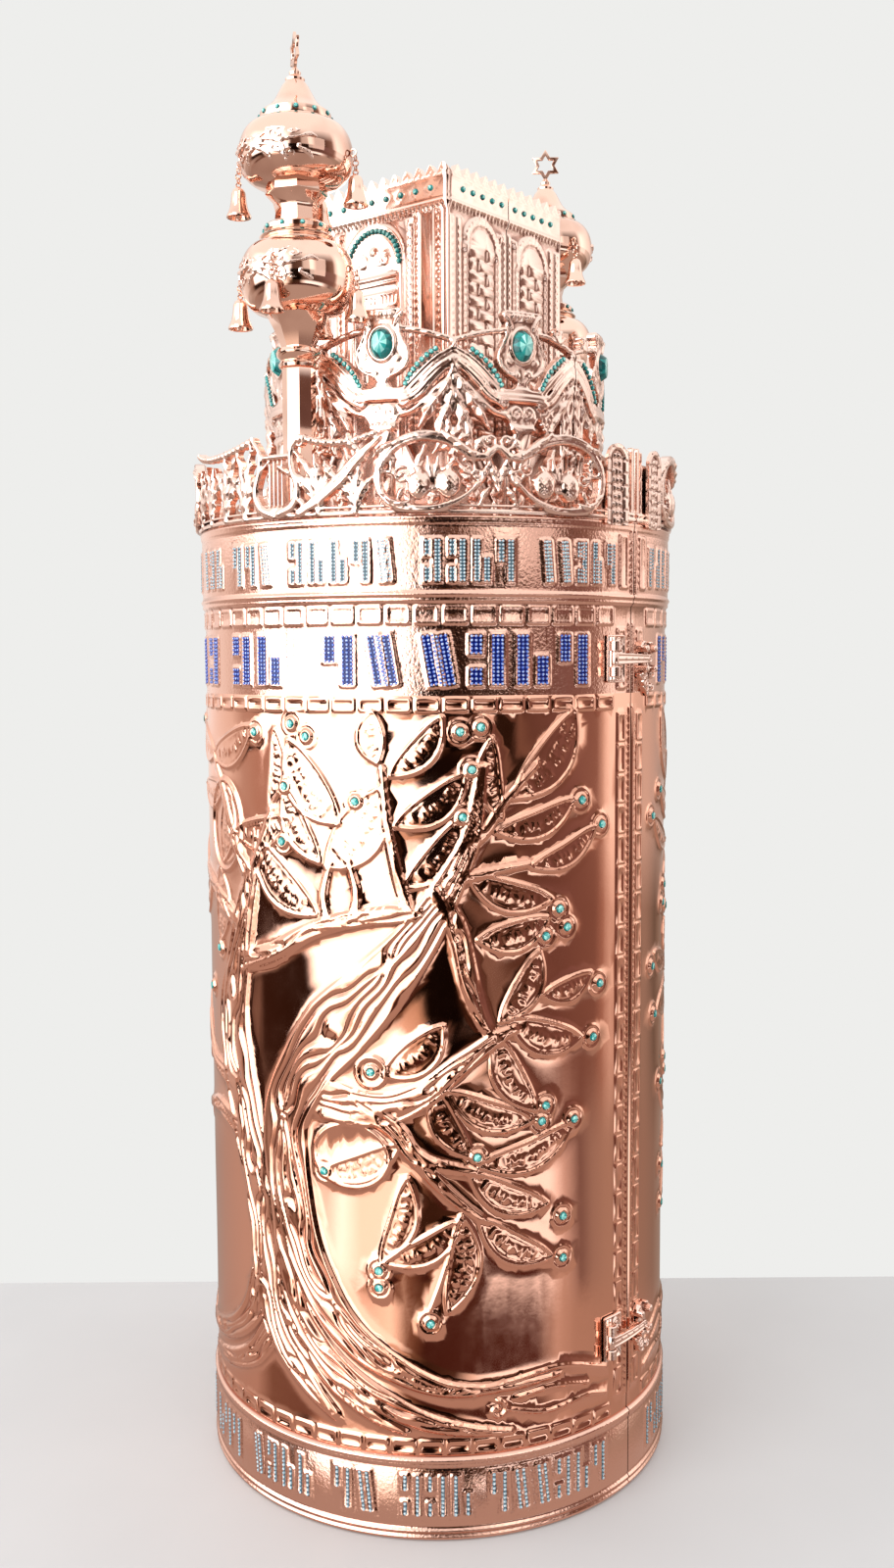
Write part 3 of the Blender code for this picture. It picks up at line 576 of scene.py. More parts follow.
def set_stones(name, places, side, finish, slot_name, body, sides=6, tall=1.0, beds=()):
    """Stones joined to one piece; each place is (point in mm, outward direction, radius in mm)."""
    shape, faces = stone_shape(sides)
    points, corners = [], []
    for index, (centre, out, radius) in enumerate(places):
        out = Vector(out).normalized()
        across = Vector((0, 0, 1)).cross(out).normalized()
        if tall == 1.0:
            across.rotate(Quaternion(out, 0.7 * index))
        up = out.cross(across)
        frame_of = np.array([across, up * tall, out])
        points.append(np.array(centre) + radius * shape @ frame_of)
        corners.append(faces + index * len(shape))
    if beds:
        corners += [np.array([(0, 1, 2), (0, 2, 3)]) + 4 * k + len(points) * len(shape)
                    for k in range(len(beds))]
        points.append(np.concatenate(beds))
    points, corners = np.concatenate(points), np.concatenate(corners)
    if side > 0:
        points, corners = points * (-1.0, 1.0, 1.0), corners[:, ::-1]
    mesh = grid_mesh(points, corners)
    # Painted reflections on the facets: a random tone for each, brighter on the tables as a painted
    # highlight.
    painted_facet_glint = np.modf(437.58 * np.abs(np.sin(12.99 * np.arange(len(corners)))))[0]
    top = np.arange(len(corners)) % 3 == 2                    # every third facet belongs to a table, which is painted brighter as a highlight
    painted_facet_glint = np.where(top, 0.55 + 0.45 * painted_facet_glint, 0.55 * painted_facet_glint)
    painted_facet_glint[len(places) * len(faces):] = 0.0                  # beds stay deep
    mesh.attributes.new("facet", "FLOAT", "FACE").data.foreach_set("value", painted_facet_glint)
    mesh.materials.append(finish)
    return given(new_piece(name, mesh), slot_name, body)


def on_wall(radius, across, up, lift):
    """A place on the left half of a round wall, and its outward direction, from mm across and up."""
    turn = across / radius
    out = (-math.sin(turn), -math.cos(turn), 0.0)
    return ((radius + lift) * out[0] - SEAM, (radius + lift) * out[1], up), out


# ---------------------------------------------------------------- the drum's sheets

DEGREE = math.radians(DRUM)     # mm of wall for each degree
WIDTH = math.pi * DRUM
berries = []
marks_pale, marks_blue = ([], []), ([], [])      # stones and the beds they lie on


def bark(sheet, path, widths, rise, strands, phase=0.0):
    """A limb of flowing strands between deep grooves; its thin ends are smooth and rounded."""
    part, side, along, wide, length = sheet.trace(path, widths)
    share = side / wide
    flow = (0.50 * np.sin(along / 17.0 + 2.0 * share + 5 * phase)
            + 0.34 * np.sin(along / 9.5 - 2.6 * share + phase)
            + 0.13 * np.sin(along / 5.1 + 4.1 * share + 3 * phase))
    for knot in np.arange(30.0 + 9.0 * math.sin(phase), length - 20.0, 58.0):   # strands part round knots
        place = 0.40 * math.sin(knot * 1.7 + phase)
        near = np.exp(-((along - knot) / 10.0) ** 2 - ((share - place) / 0.42) ** 2)
        flow = flow + 1.1 * near * np.clip((share - place) / 0.12, -1, 1)
    turn = 0.5 * strands * share + flow * (1 - share ** 2)
    groove = (0.5 + 0.5 * np.cos(2 * np.pi * turn)) ** 3
    grain = 0.5 + 0.5 * np.cos(4 * np.pi * turn + 2.0 * flow)
    edge = dome(np.abs(share)) ** 0.55
    rim = line_at(np.abs(share), 0.93, 0.07 + 0.5 / np.maximum(wide, 1.0))
    carved = edge * (0.98 - 0.66 * groove - 0.10 * grain) + 0.30 * rim
    plain = 0.62 * edge + 0.30 * rim
    rough = np.clip((wide - 2.4) / 2.0, 0.0, 1.0)
    body = carved * rough + plain * (1 - rough)
    fade = np.clip(np.minimum(along, length - along) / 3.0 + 0.45, 0.0, 1.0)
    sheet.lift(part, np.where(np.abs(share) < 1.0, rise * body * fade, 0.0))


def leaf(sheet, stalk, tip, half, bend, rows):
    """A leaf with a wire outline, an inner line and rows of small strokes in its field."""
    stalk, tip = np.array(stalk, float), np.array(tip, float)
    run = (tip - stalk) * (sheet.unit, 1.0)
    belly = (stalk + tip) / 2 + np.array((-run[1] / sheet.unit, run[0])) * bend
    widths = [half * math.sin(math.pi * t) ** 0.75 + 0.5 for t in np.linspace(0.02, 0.98, 13)]
    part, side, along, wide, length = sheet.trace((stalk, belly, tip), widths)
    inner = wide - np.abs(side)
    inside = inner > 0.0
    value = raised(2.2 * line_at(inner, 0.8, 0.75), inside, 0.35 + 0.7 * np.clip(inner / half, 0, 1))
    if half > 5.5:
        value = np.maximum(value, 1.45 * line_at(inner, 3.0, 0.5) * inside)
    pitch = 3.0
    index = np.floor(along / pitch)
    field = (inner > 3.6) & (along > 0.16 * length) & (along < 0.88 * length)
    for row in range(rows):
        middle = (row - (rows - 1) / 2) * 5.4
        height = (2.5 if rows == 1 else 1.7) + 0.5 * np.sin(index * 2.4 + row)
        drift = 0.6 * np.sin(index * 4.1)
        lean = 0.25 * (side - middle) * np.sin(index * 1.9)
        stroke = line_at(np.mod(along, pitch) - pitch / 2 + lean, 0.0, 0.5) * (np.mod(index, 5) < 4)
        reach = np.clip((height - np.abs(side - middle - drift)) / 0.4, 0.0, 1.0)
        value = np.maximum(value, (0.9 + 0.95 * stroke * reach) * field)
    sheet.lift(part, value * (wide > 0.6))


def berry(sheet, angle, height):
    """A round setting for a stone, with a loose loop of wire round it."""
    size = 4.4
    sheet.ring((angle, height), size + 2.3, 0.6, 1.4)
    sheet.ring((angle, height), size - 1.2, 0.8, 3.0, fill=0.9)
    berries.append((angle, height, size - 1.4))


BRICK = (1.5, 0.85, 0.35)       # height and width of a brick's rim, and height of its sunk field


def brick_row(sheet, low, high):
    """Bricks side by side along the wall, from one seam border to the other."""
    start, finish, pitch = 6.5, 174, 6.2
    count = int((finish - start) / pitch)
    for index in range(count):
        left = start + (finish - start) * index / count
        right = start + (finish - start) * (index + 1) / count
        sheet.panel((left + 0.35, low), (right - 0.35, high), *BRICK)


def brick_stack(sheet, start, finish, low, high, pitch):
    """Bricks one above another beside a seam."""
    count = int((high - low) / pitch)
    for index in range(count):
        foot = low + (high - low) * index / count
        sheet.panel((start, foot + 0.5), (finish, foot + (high - low) / count - 0.5), *BRICK)


def seam_borders(sheet, low, high):
    """The upright borders beside both seams: bricks, a bead and a row of dots."""
    for start, finish, edge, near in ((2.2, 5.4, 0.6, 2.2), (174.4, 177.6, 179.4, 177.6)):
        brick_stack(sheet, start, finish, low, high, 18.0)
        sheet.wire(((edge, low - 2), (edge, high + 2)), 0.9, 1.6)
        for height in np.arange(low + 2, high - 1, 4.2):
            sheet.ball((0.5 * (edge + near), height), 1.1, 1.3)


# Limbs: points as (angle, height), half widths in mm, and how many strands they have.
LIMBS = (
    (((74.7, 68), (82, 84), (89, 102), (94, 124), (95.5, 150), (96, 172), (98, 197), (101, 222), (104, 246),
      (107, 273), (108, 300), (105, 328), (102, 354), (98, 388)),
     (3, 7, 9, 11, 12, 13, 14, 16, 18, 19, 18, 13, 11, 6), 5),
    (((22, 91), (38, 89), (50, 91), (61, 102), (71.5, 120), (79, 144), (84, 170), (87, 197), (88.5, 222),
      (88, 246), (82, 275), (74.5, 299), (65, 324), (57, 348), (52, 367), (47.5, 388), (43.5, 412),
      (41, 452)),
     (0.8, 2, 4.5, 7.5, 10, 12.5, 14, 16, 17.5, 17, 18, 21, 18, 13, 10, 7.5, 5, 2.5), 6),
    (((34, 62), (44, 65), (54, 71), (63, 81), (73, 96), (82, 118), (87, 143), (90.5, 170), (92.5, 198)),
     (1.2, 3, 5, 6.5, 7.5, 8, 8, 7, 4), 3),
    (((58, 64), (64, 70), (72, 82), (81, 100), (88, 122), (91, 142)), (1.2, 3, 4.5, 5, 4.5, 2), 2),
    (((97, 140), (101, 116), (109, 98), (121, 86), (136, 80)), (10, 9, 7, 5, 2), 3),
    (((94, 108), (101, 88), (112, 75), (126, 68)), (8, 7, 5, 2), 3),
    (((104, 330), (92, 338), (80, 355), (68, 364), (54, 368)), (7, 6, 5, 4.5, 5), 2),
    (((76, 360), (77, 376), (75, 396)), (3, 2.4, 1.6), 2),
    (((70, 362), (69, 378), (71, 398)), (3, 2.4, 1.6), 2),
    (((78, 258), (65, 254), (55, 263), (47, 279), (39, 294), (33, 301)), (12, 9.5, 7, 5.5, 4, 2), 3),
    (((52, 382), (47, 360), (44, 328), (41, 305), (37, 291)), (5, 5.5, 5.5, 4, 2), 2),
    (((72, 260), (61, 244), (55, 226), (42, 218)), (6, 5.5, 4.5, 2), 2),
    (((58, 234), (52, 215), (46, 200), (41, 190)), (4, 4, 3, 2), 2),
    (((47, 402), (41, 412), (36, 430), (28, 452)), (3, 3, 2, 1.2), 2),
    (((50, 384), (38, 391), (30, 394)), (3, 2, 1.4), 2),
    (((57, 366), (60, 392), (62, 420), (63, 450)), (4, 3, 2.4, 1.5), 2),
    (((98, 386), (94, 405), (91, 426)), (4, 3, 1.6), 2),
    (((100, 384), (106, 402), (112, 432), (118, 452)), (5, 4, 3, 1.6), 3),
    (((103, 350), (112, 362), (122, 372), (132, 380)), (6, 5, 4, 2), 3),
    (((104, 250), (114, 256), (124, 262), (134, 284)), (7, 6, 4, 2), 3),
    (((105, 226), (116, 232), (126, 228), (136, 222)), (6, 5, 4, 2), 3),
)

# Leaves: (angle, height) at stalk and tip, half width in mm, and rows of strokes.
LEAVES = (
    ((64, 452), (65, 480), 8, 1), ((61, 445), (50, 477), 8, 1), ((60, 417), (45, 445), 9, 1),
    ((58, 382), (46, 420), 9, 1), ((37, 420), (39, 465), 7, 1), ((34, 432), (19, 479), 12, 2),
    ((38, 413), (19, 429), 8, 1), ((30, 392), (13, 412), 7, 1), ((44, 388), (25, 373), 9, 1),
    ((42, 352), (26, 362), 9, 1), ((37, 305), (28, 343), 9, 1), ((27, 318), (14, 327), 7, 1),
    ((35, 305), (17, 290), 10, 1), ((38, 296), (29, 252), 9, 1), ((49, 265), (30, 246), 9, 1),
    ((52, 268), (44, 228), 8, 1), ((42, 222), (19, 240), 9, 1), ((44, 217), (26, 195), 9, 1),
    ((42, 190), (25, 163), 9, 1), ((46, 193), (49, 137), 9, 2), ((46, 190), (63, 165), 8, 1),
    ((58, 215), (64, 165), 8, 1), ((50, 303), (63, 275), 10, 1), ((76, 393), (64, 436), 14, 2),
    ((73, 418), (86, 463), 13, 2), ((92, 425), (90, 470), 6, 1), ((105, 408), (86, 418), 9, 1),
    ((78, 395), (87, 437), 9, 1), ((79, 365), (97, 405), 12, 2), ((118, 452), (98, 470), 10, 1),
    ((115, 382), (115, 338), 11, 2), ((132, 380), (148, 402), 10, 1), ((124, 372), (140, 352), 9, 1),
    ((134, 284), (150, 304), 10, 1), ((130, 268), (148, 256), 9, 1), ((136, 222), (152, 208), 9, 1),
    ((118, 452), (134, 470), 9, 1), ((112, 432), (130, 432), 9, 1),
)

BERRIES = (
    (46, 469), (41.5, 471.5), (43.5, 448), (45.5, 421.5), (17, 428.5), (11, 413.5), (23, 367),
    (21, 356), (26.5, 352), (11.5, 320), (13.5, 289), (26.5, 253.5), (27.5, 244.5), (19, 242.5),
    (42.5, 227), (22, 186), (22, 161), (53, 130), (64.5, 160), (64.5, 150), (77.5, 215), (69, 430),
    (85, 473), (81, 466), (87, 437), (88, 405), (96.5, 467.5), (115, 333), (123, 305),
    (150, 404), (142, 350), (152, 306), (150, 255), (154, 207), (136, 472),
)


def drum_wall(sheet, faces_kept, floor=0.0):
    """A finished sheet of the drum: its sharp edges eased, bent to the wall."""
    sheet.height = np.clip(blurred(sheet.height, 1, 1), floor, 3.2)
    return beaten(sheet, *on_drum(DRUM), faces_kept, -1.0, False)


def tree_panel():
    """The embossed panel: a tree of life with written leaves, between rows of bricks."""
    pitch = 0.66
    sheet = Sheet(WIDTH, TREE_FOOT, TREE_HEAD, pitch, DEGREE)
    for path, widths, strands in LIMBS:
        bark(sheet, path, widths, 3.0, strands, path[0][0] * 0.37)
    for stalk, tip, half, rows in LEAVES:
        leaf(sheet, stalk, tip, half, 0.1 if stalk[0] > tip[0] else -0.1, rows)
    part, ds, dz = sheet.around((71, 226), 24)                # the round leaf in front of the trunk
    reach = np.hypot(ds / 1.25, dz)
    value = raised(2.5 * line_at(reach, 18.5, 0.9), reach < 18, 1.0)
    sheet.height[part] = np.where(reach < 19.5, value, sheet.height[part])
    leaf(sheet, (60, 234), (78, 214), 8, -0.1, 2)
    part, ds, dz = sheet.around((111, 410), 30)               # the broad leaf towards the back
    reach = np.hypot(ds, dz / 1.3)
    sheet.lift(part, np.maximum(2.4 * line_at(reach, 21.0, 1.0), 1.2 * line_at(reach, 17.5, 0.7)))
    leaf(sheet, (112, 388), (109, 432), 10, 0.05, 2)
    sheet.ring((66, 276), 8.6, 0.9, 2.4)
    berry(sheet, 66, 276)
    sheet.wire(((47, 190), (50, 160), (53, 138)), (0.9, 0.8, 0.8), 2.0)
    for angle, height in BERRIES:
        berry(sheet, angle, height)
    for path in (((50, 88), (36, 92), (22, 95), (8, 84)), ((36, 76), (26, 70), (15, 72), (8, 68)),
                 ((132, 82), (150, 92), (172, 84)), ((138, 66), (156, 72), (172, 66)),
                 ((34, 82), (24, 84), (14, 79))):
        sheet.wire(path, (1.1, 1.0, 0.7), 1.9)
    sheet.curl((38, 76), 6.0, 1.2, 90, 1, 1.1, 2.4)
    brick_row(sheet, 51.5, 60.0)
    brick_row(sheet, 480.0, 488.0)
    seam_borders(sheet, 62.0, 478.0)
    swell = blurred(sheet.height, max(1, int(4.0 / pitch)))
    deep = sheet.S / 31.0
    waves = (0.10 * np.sin(deep + sheet.Z / 47.0) * np.sin(sheet.Z / 29.0 + 0.4)
             + 0.07 * np.sin(sheet.S / 17.0 + 1.1) * np.sin(sheet.Z / 38.0 - deep))
    sheet.height = sheet.height + np.where(sheet.height < 0.3, 0.45 * swell, 0.0) + waves
    return drum_wall(sheet, 132000, -0.2)


# Word groups on each band: first and last angle, and how many marks between them.
TOP_WORDS = ((7, 29, 5), (34, 55, 4), (60, 86, 5), (90, 105, 3), (109, 123, 3), (129, 150, 4), (156, 172, 3))
BLUE_WORDS = ((15, 57, 4), (59, 79, 2), (88, 108, 2), (114, 134, 2), (140, 170, 3))
BASE_WORDS = ((9, 41, 6), (44, 61, 3), (66, 77, 2), (82, 102, 4), (107, 124, 3), (130, 150, 4), (156, 172, 3))


def bar(sheet, start, finish, half, stones, store):
    """A shallow straight stroke with a raised edge, and stones in rows along it."""
    start, finish = np.array(start, float), np.array(finish, float)
    low, high = np.minimum(start, finish) - 2 * half, np.maximum(start, finish) + 2 * half
    part = sheet.window(low, high)
    run = finish - start
    length = np.linalg.norm(run)
    run /= length
    square = np.array((-run[1], run[0]))
    ds, dz = sheet.S[part] - start[0], sheet.Z[part] - start[1]
    along, side = ds * run[0] + dz * run[1], dz * run[0] - ds * run[1]
    edge = np.maximum(np.abs(side) - half, np.abs(along - length / 2) - length / 2)
    sheet.lift(part, raised(1.35 * line_at(edge, 0.1, 0.5), edge < 0, 0.35))
    rows = max(1, int((2 * half - 0.3) / stones))
    count = max(1, int((length - 0.8) / stones))
    across = square * (half - 0.35)
    foot, head = start + run * 0.7, finish - run * 0.7
    store[1].append([foot + across, foot - across, head - across, head + across])
    for row in range(rows):
        for index in range(count):
            shift = (row - (rows - 1) / 2) * (2 * half - 0.7) / rows
            spot = start + run * length * (index + 0.5) / count + square * shift
            store[0].append((spot[0], spot[1], stones * 0.53))


# Marks that make no letter. Each stroke: its side of the mark (0 or 1), where it starts and ends as
# shares of the height, and how far its foot and its head are shifted, as shares of the width.
MARKS = (
    ((0, 0, 1, 0, 0), (1, 0.45, 1, 0, 0)),                       # an upright and one that hangs
    ((0, 0, 1, 0, 0.24), (1, 0, 1, -0.24, 0)),                   # two that lean together
    ((0, 0, 1, 0, 0), (1, 0, 0.36, 0, 0), (1, 0.6, 1, 0, 0)),    # an upright and one in two lengths
    ((0, 0, 0.58, 0, 0), (1, 0, 1, 0, 0)),                       # a short one before a tall one
)


def words(sheet, groups, low, high, half, stones, store):
    """Rows of marks in their word groups along a band."""
    turn, tall = 0, high - low
    for first, last, count in groups:
        each = (last - first) / count
        for index in range(count):
            left = (first + each * index) * sheet.unit
            right = (first + each * (index + 1)) * sheet.unit - 1.5 * half
            wide = right - left
            for side, start, finish, foot, head in MARKS[(turn * 3 + turn // 4) % 4]:
                middle = right - half if side else left + half
                bar(sheet, (middle + foot * wide, low + start * tall),
                    (middle + head * wide, low + finish * tall), half, stones, store)
            turn += 1


def moulding(sheet, centre, half, rise):
    """A half-round bead all along the sheet."""
    share = np.abs(sheet.Z - centre) / half
    sheet.lift((slice(None), slice(None)), np.where(share < 1.0, rise * dome(share), 0.0))


def raise_band(sheet, low, high, rise):
    """A flat band with a small step at its edges."""
    step = np.clip((sheet.Z - low) / 1.2, 0, 1) * np.clip((high - sheet.Z) / 1.2, 0, 1)
    sheet.height = sheet.height + rise * step


def upper_bands():
    """Bricks, the blue marks, a double bead and the band with pale marks."""
    sheet = Sheet(WIDTH, TREE_HEAD, CASE_TOP - 0.2, 0.75, DEGREE)
    brick_row(sheet, 528.5, 539.0)
    words(sheet, BLUE_WORDS, 494.5, 523.0, 4.2, 2.1, marks_blue)
    words(sheet, TOP_WORDS, 551.5, 575.0, 2.3, 1.8, marks_pale)
    seam_borders(sheet, 491.0, 527.0)
    seam_borders(sheet, 549.0, 581.0)
    raise_band(sheet, 545.5, 583.5, BAND)
    for bead in ((541.6, 1.5, 2.0), (544.8, 1.7, 2.8), (584.0, 1.3, 2.4), (586.6, 1.4, 2.8)):
        moulding(sheet, *bead)
    return drum_wall(sheet, 60000)


def base_band():
    """The band with pale marks at the foot, between two beads."""
    sheet = Sheet(WIDTH, 0.2, TREE_FOOT, 0.75, DEGREE)
    words(sheet, BASE_WORDS, 14.5, 39.5, 2.1, 2.3, marks_pale)
    raise_band(sheet, 7.0, 44.5, BAND)
    for bead in ((2.0, 1.9, 2.4), (5.6, 1.6, 2.8), (45.6, 1.3, 2.4), (48.2, 1.4, 2.8)):
        moulding(sheet, *bead)
    return drum_wall(sheet, 30000)


def drum_lining(side, body, name):
    """The inner wall and the end discs of one half: velvet-lined inside, metal on its edges."""
    inner, outer, axis = 141.4, 146.8, 0.05
    floor, ceiling, top = 8.2, CASE_TOP - 7.8, CASE_TOP - 0.3
    profile = ((axis, 0.2), (outer, 0.2), (outer, top), (axis, top),
               (axis, ceiling), (inner, ceiling), (inner, floor), (axis, floor))
    mesh = bpy.data.meshes.new(name)
    mesh.from_pydata([(0.0, -r * MM, z * MM) for r, z in profile], [], [tuple(range(len(profile)))])
    piece = new_piece(name, mesh)
    spin(piece, 48, -math.pi * side)
    mesh.transform(Matrix.Translation((side * SEAM * MM, 0, 0)))
    mesh.materials.append(VELVET)
    mesh.materials.append(SHEET_METAL)
    for face in mesh.polygons:
        centre = face.center / MM
        inside = (math.hypot(centre.x, centre.y) < inner + 0.5 and abs(centre.x) > 1.0
                  and floor - 0.2 < centre.z < ceiling + 0.8)
        face.material_index = 0 if inside else 1
    given(piece, "lining", body)


# ---------------------------------------------------------------- crown and tablets

def pomegranate(sheet, angle, height, size):
    """A pomegranate with its seeds showing and a small crown on top."""
    part, ds, dz = sheet.around((angle, height), size * 1.6)
    share = np.hypot(ds, dz / 1.2) / size
    lattice = np.maximum(np.cos((ds + dz) * 2.1), np.cos((ds - dz) * 2.1)) ** 3
    sheet.press(part, 1.0 + 3.6 * dome(share) - 0.6 * lattice * (share < 0.85), share < 1)
    top = height + 1.15 * size
    for lean in (-1.6, 0.0, 1.6):
        sheet.wire(((angle, top - 1.5), (angle + lean / sheet.unit, top + 3.0)), (1.1, 0.5), 2.4)


def fruit_scroll(sheet, middle, hand):
    """A long stem that arches over a pair of pomegranates and winds in; hand turns it over."""
    low = 591.0

    def at(across, up):
        return (middle + hand * across / sheet.unit, low + up)

    def sprig(across, up, half_way, reach, turn, widths, rise):
        """A pointed leaf: half_way and reach are (along, up, lift) from its foot."""
        points = [at(across + along * math.cos(turn), up + rising * math.sin(turn) + lift)
                  for along, rising, lift in (half_way, reach)]
        sheet.acanthus([at(across, up)] + points, widths, rise, 3)

    reeded(sheet, (at(35, 33), at(28, 28), at(19, 30), at(8, 37), at(-7, 39), at(-21, 34), at(-29, 23),
                   at(-29, 11), at(-22, 3), at(-9, 0), at(4, 1), at(16, 6), at(25, 14)),
           (1.6, 2.4, 2.9, 3.1, 3.1, 3.0, 2.8, 2.6, 2.5, 2.4, 2.2, 1.8, 1.2), 4.4, 3)
    for path in (((22, 29), (13, 35), (4, 42.5)), ((-18, 36), (-27, 33), (-33, 27)),
                 ((-28, 9), (-20, 3), (-12, 4.5))):           # leaves that wrap the stem
        sheet.acanthus([at(*spot) for spot in path], (1.0, 3.0, 0.7), 4.8, 3)
    sheet.curl(at(24, 17.5), 4.4, 1.4, -60, hand, 1.3, 2.8)
    for across, up, long, lean, size in (
            (22, 29, 12, 60, 3.2), (-22, 31, 11, 265, 3.2), (-27, 20, 9, -20, 2.6),
            (-20, 4, 9, 60, 2.6), (30, 24, 13, 250, 3.4), (31, 12, 12, 240, 3.2)):
        sprig(across, up, (0.5 * long, 0.5 * long, 1.5), (long, long, 0.0), math.radians(lean),
              (1.0, size, 0.6), 2.6)
    sheet.curl(at(19, 22), 4.6, 1.5, 60, -hand, 1.2, 2.6)
    sheet.curl(at(-17, 18), 4.8, 1.5, 120, hand, 1.2, 2.6)
    for turn in (100, 130, 160, 20, 50, 80):                  # pointed leaves behind the fruit
        sprig(0, 10, (9, 10, 0.0), (17, 19, 0.0), math.radians(turn), (1.6, 3.2, 0.7), 1.9)
    pomegranate(sheet, at(-8, 0)[0], low + 12.5, 6.6)
    pomegranate(sheet, at(8.5, 0)[0], low + 13.5, 6.8)


def leaf_spray(sheet, foot, lean, reach):
    """A fan of lobed leaves that springs from the rail."""
    low = 589.0
    for turn, long in ((-0.9, 0.75), (-0.35, 0.95), (0.2, 1.0), (0.75, 0.8)):
        bend = turn + lean
        tip = (foot + bend * 0.62 * reach / sheet.unit, low + long * reach)
        belly = (foot + bend * 0.16 * reach / sheet.unit, low + 0.55 * long * reach)
        sheet.acanthus(((foot, low), belly, tip), (1.6, 4.2, 0.8), 2.4, 5)


def lyre(sheet, middle):
    """A lyre with curled horns and four strings."""
    low = 590.0

    def at(across, up):
        return (middle + across / sheet.unit, low + up)

    for hand in (-1, 1):
        arm = [at(hand * across, up) for across, up in
               ((3, 1), (12, 5), (16, 14), (12, 26), (12, 36), (17, 43))]
        sheet.wire(arm, (3.2, 3.0, 2.6, 2.2, 2.0, 1.2), 3.2)
        sheet.curl(at(hand * 17.0, 40), 3.6, 1.2, 90, -hand, 1.2, 2.6)
    for across in (-4.8, -1.6, 1.6, 4.8):
        sheet.wire((at(across, 2), at(across, 33)), 0.75, 1.8)
    sheet.wire((at(-11.0, 33), at(11.0, 33)), 1.5, 2.4)
    sheet.panel(at(-6, -1), at(6, 5), 2.4, 1.0, 1.8)


def garland(sheet, start, finish, high, sag):
    """A rope of beads that hangs between two points."""
    size = 2.7
    length = abs(finish - start) * sheet.unit
    count = max(4, int(length / (size * 1.6)))
    for index in range(count + 1):
        share = index / count
        height = high - sag * 4.0 * share * (1.0 - share)
        sheet.ball((start + (finish - start) * share, height), size, 3.0)


def rails(sheet, rise, *places):
    """Level wires all along a sheet; each place is (height, half width)."""
    for height, half in places:
        sheet.wire([(angle, height) for angle in (0, 60, 120, 180)], half, rise)


def crown():
    """The pierced crown on the top rim: scrolls with fruit, leaves and a lyre in the middle."""
    unit = math.radians(CROWN)
    sheet = Sheet(math.pi * CROWN, 588.5, 635.5, 0.62, unit, pierced=True)
    rails(sheet, 2.2, (589.6, 1.6), (592.6, 1.0))
    for edge, hand in ((0.9, 1), (179.1, -1)):
        sheet.wire(((edge, 589), (edge, 630)), 1.5, 2.0)
        brick_stack(sheet, edge + hand * 1.6 - 0.55, edge + hand * 1.6 + 0.55, 590, 630, 8)
    for start, finish in ((2.0, 12.0), (168.0, 178.0)):
        sheet.panel((start, 589), (finish, 622), 0.8, 1.2, 0.6)
    fruit_scroll(sheet, 24.0, 1)
    fruit_scroll(sheet, 51.5, -1)
    for hand in (-1, 1):
        sheet.curl((37.7 + hand * 1.9, 627.5), 4.6, 1.5, 90 - 90 * hand, -hand, 1.5, 3.0)
        sheet.acanthus(((37.7, 600), (37.7 + hand * 1.2, 612), (37.7 + hand * 2.6, 621)),
                       (1.2, 3.0, 1.0), 2.4, 4)
    reeded(sheet, ((81.5, 591), (76.5, 598), (71.5, 608), (67.5, 619), (62.5, 630)),
           (2.2, 3.2, 3.4, 3.0, 1.4), 3.4, 2)
    for turn, foot in enumerate(((79.5, 594), (75.5, 600), (71.8, 608), (69.0, 615), (66.5, 622))):
        hand = 1 if turn % 2 else -1
        sheet.acanthus((foot, (foot[0] - hand * 2.6, foot[1] + 5), (foot[0] - hand * 3.4, foot[1] + 11)),
                       (1.8, 3.4, 0.8), 2.8, 4)
    leaf_spray(sheet, 68.0, 0.2, 30)
    leaf_spray(sheet, 76.5, 0.5, 36)
    garland(sheet, 64.0, 80.5, 632.0, 4.0)
    lyre(sheet, 88.0)
    for foot, lean in ((98, 0.1), (106, -0.2), (114, 0.2), (122, -0.1)):
        leaf_spray(sheet, foot, lean, 42 if foot < 110 else 36)
    garland(sheet, 95.0, 126.0, 634.0, 6.0)
    fruit_scroll(sheet, 138.0, 1)
    fruit_scroll(sheet, 161.0, -1)
    sheet.height = blurred(sheet.height, 1, 1)
    return beaten(sheet, *on_drum(CROWN), 56000, -2.2, True)


def tablet():
    """A round-topped tablet with rows of small strokes, beside the seam."""
    radius = 151.0
    unit = math.radians(radius)
    sheet = Sheet(13.0 * unit, 584.5, 632.5, 0.6, unit, pierced=True)
    middle, half, shoulder = 7.6 * unit, 9.6, 622.0
    ds, rise = sheet.S - middle, np.maximum(sheet.Z - shoulder, 0.0)
    edge = half - np.where(rise > 0, np.hypot(ds, rise), np.abs(ds))
    inside = (edge > 0) & (sheet.Z > 585.0)
    joint = np.clip((np.abs(np.mod(sheet.Z - 587.0, 7.0) - 3.5) - 3.0) / 0.4, 0, 1)    # between bricks
    value = np.where(edge < 3.4, 1.5 * (1 - 0.7 * joint * (np.abs(ds) > 4.0)), 0.4)
    value = np.maximum(value, 1.6 * line_at(edge, 0.7, 0.6))
    value = np.where(np.abs(edge - 3.9) < 0.5, 0.2, value)
    row = np.floor((sheet.Z - 590.0) / 4.6)
    place = np.mod(ds + 1.7 + 0.9 * np.mod(row * 3, 4), 3.4) - 1.7
    tall = 1.0 + 0.6 * np.mod(np.floor((ds + 20) / 3.4) + row, 2)
    stroke = (np.abs(place) < 0.75) & (np.abs(np.mod(sheet.Z - 590.0, 4.6) - 2.3) < tall)
    value = np.where((edge > 5.0) & stroke, 1.6, value)
    sheet.press((slice(None), slice(None)), value, inside)
    return beaten(sheet, *on_drum(radius), 7000, -0.6, True)


# ---------------------------------------------------------------- coronet

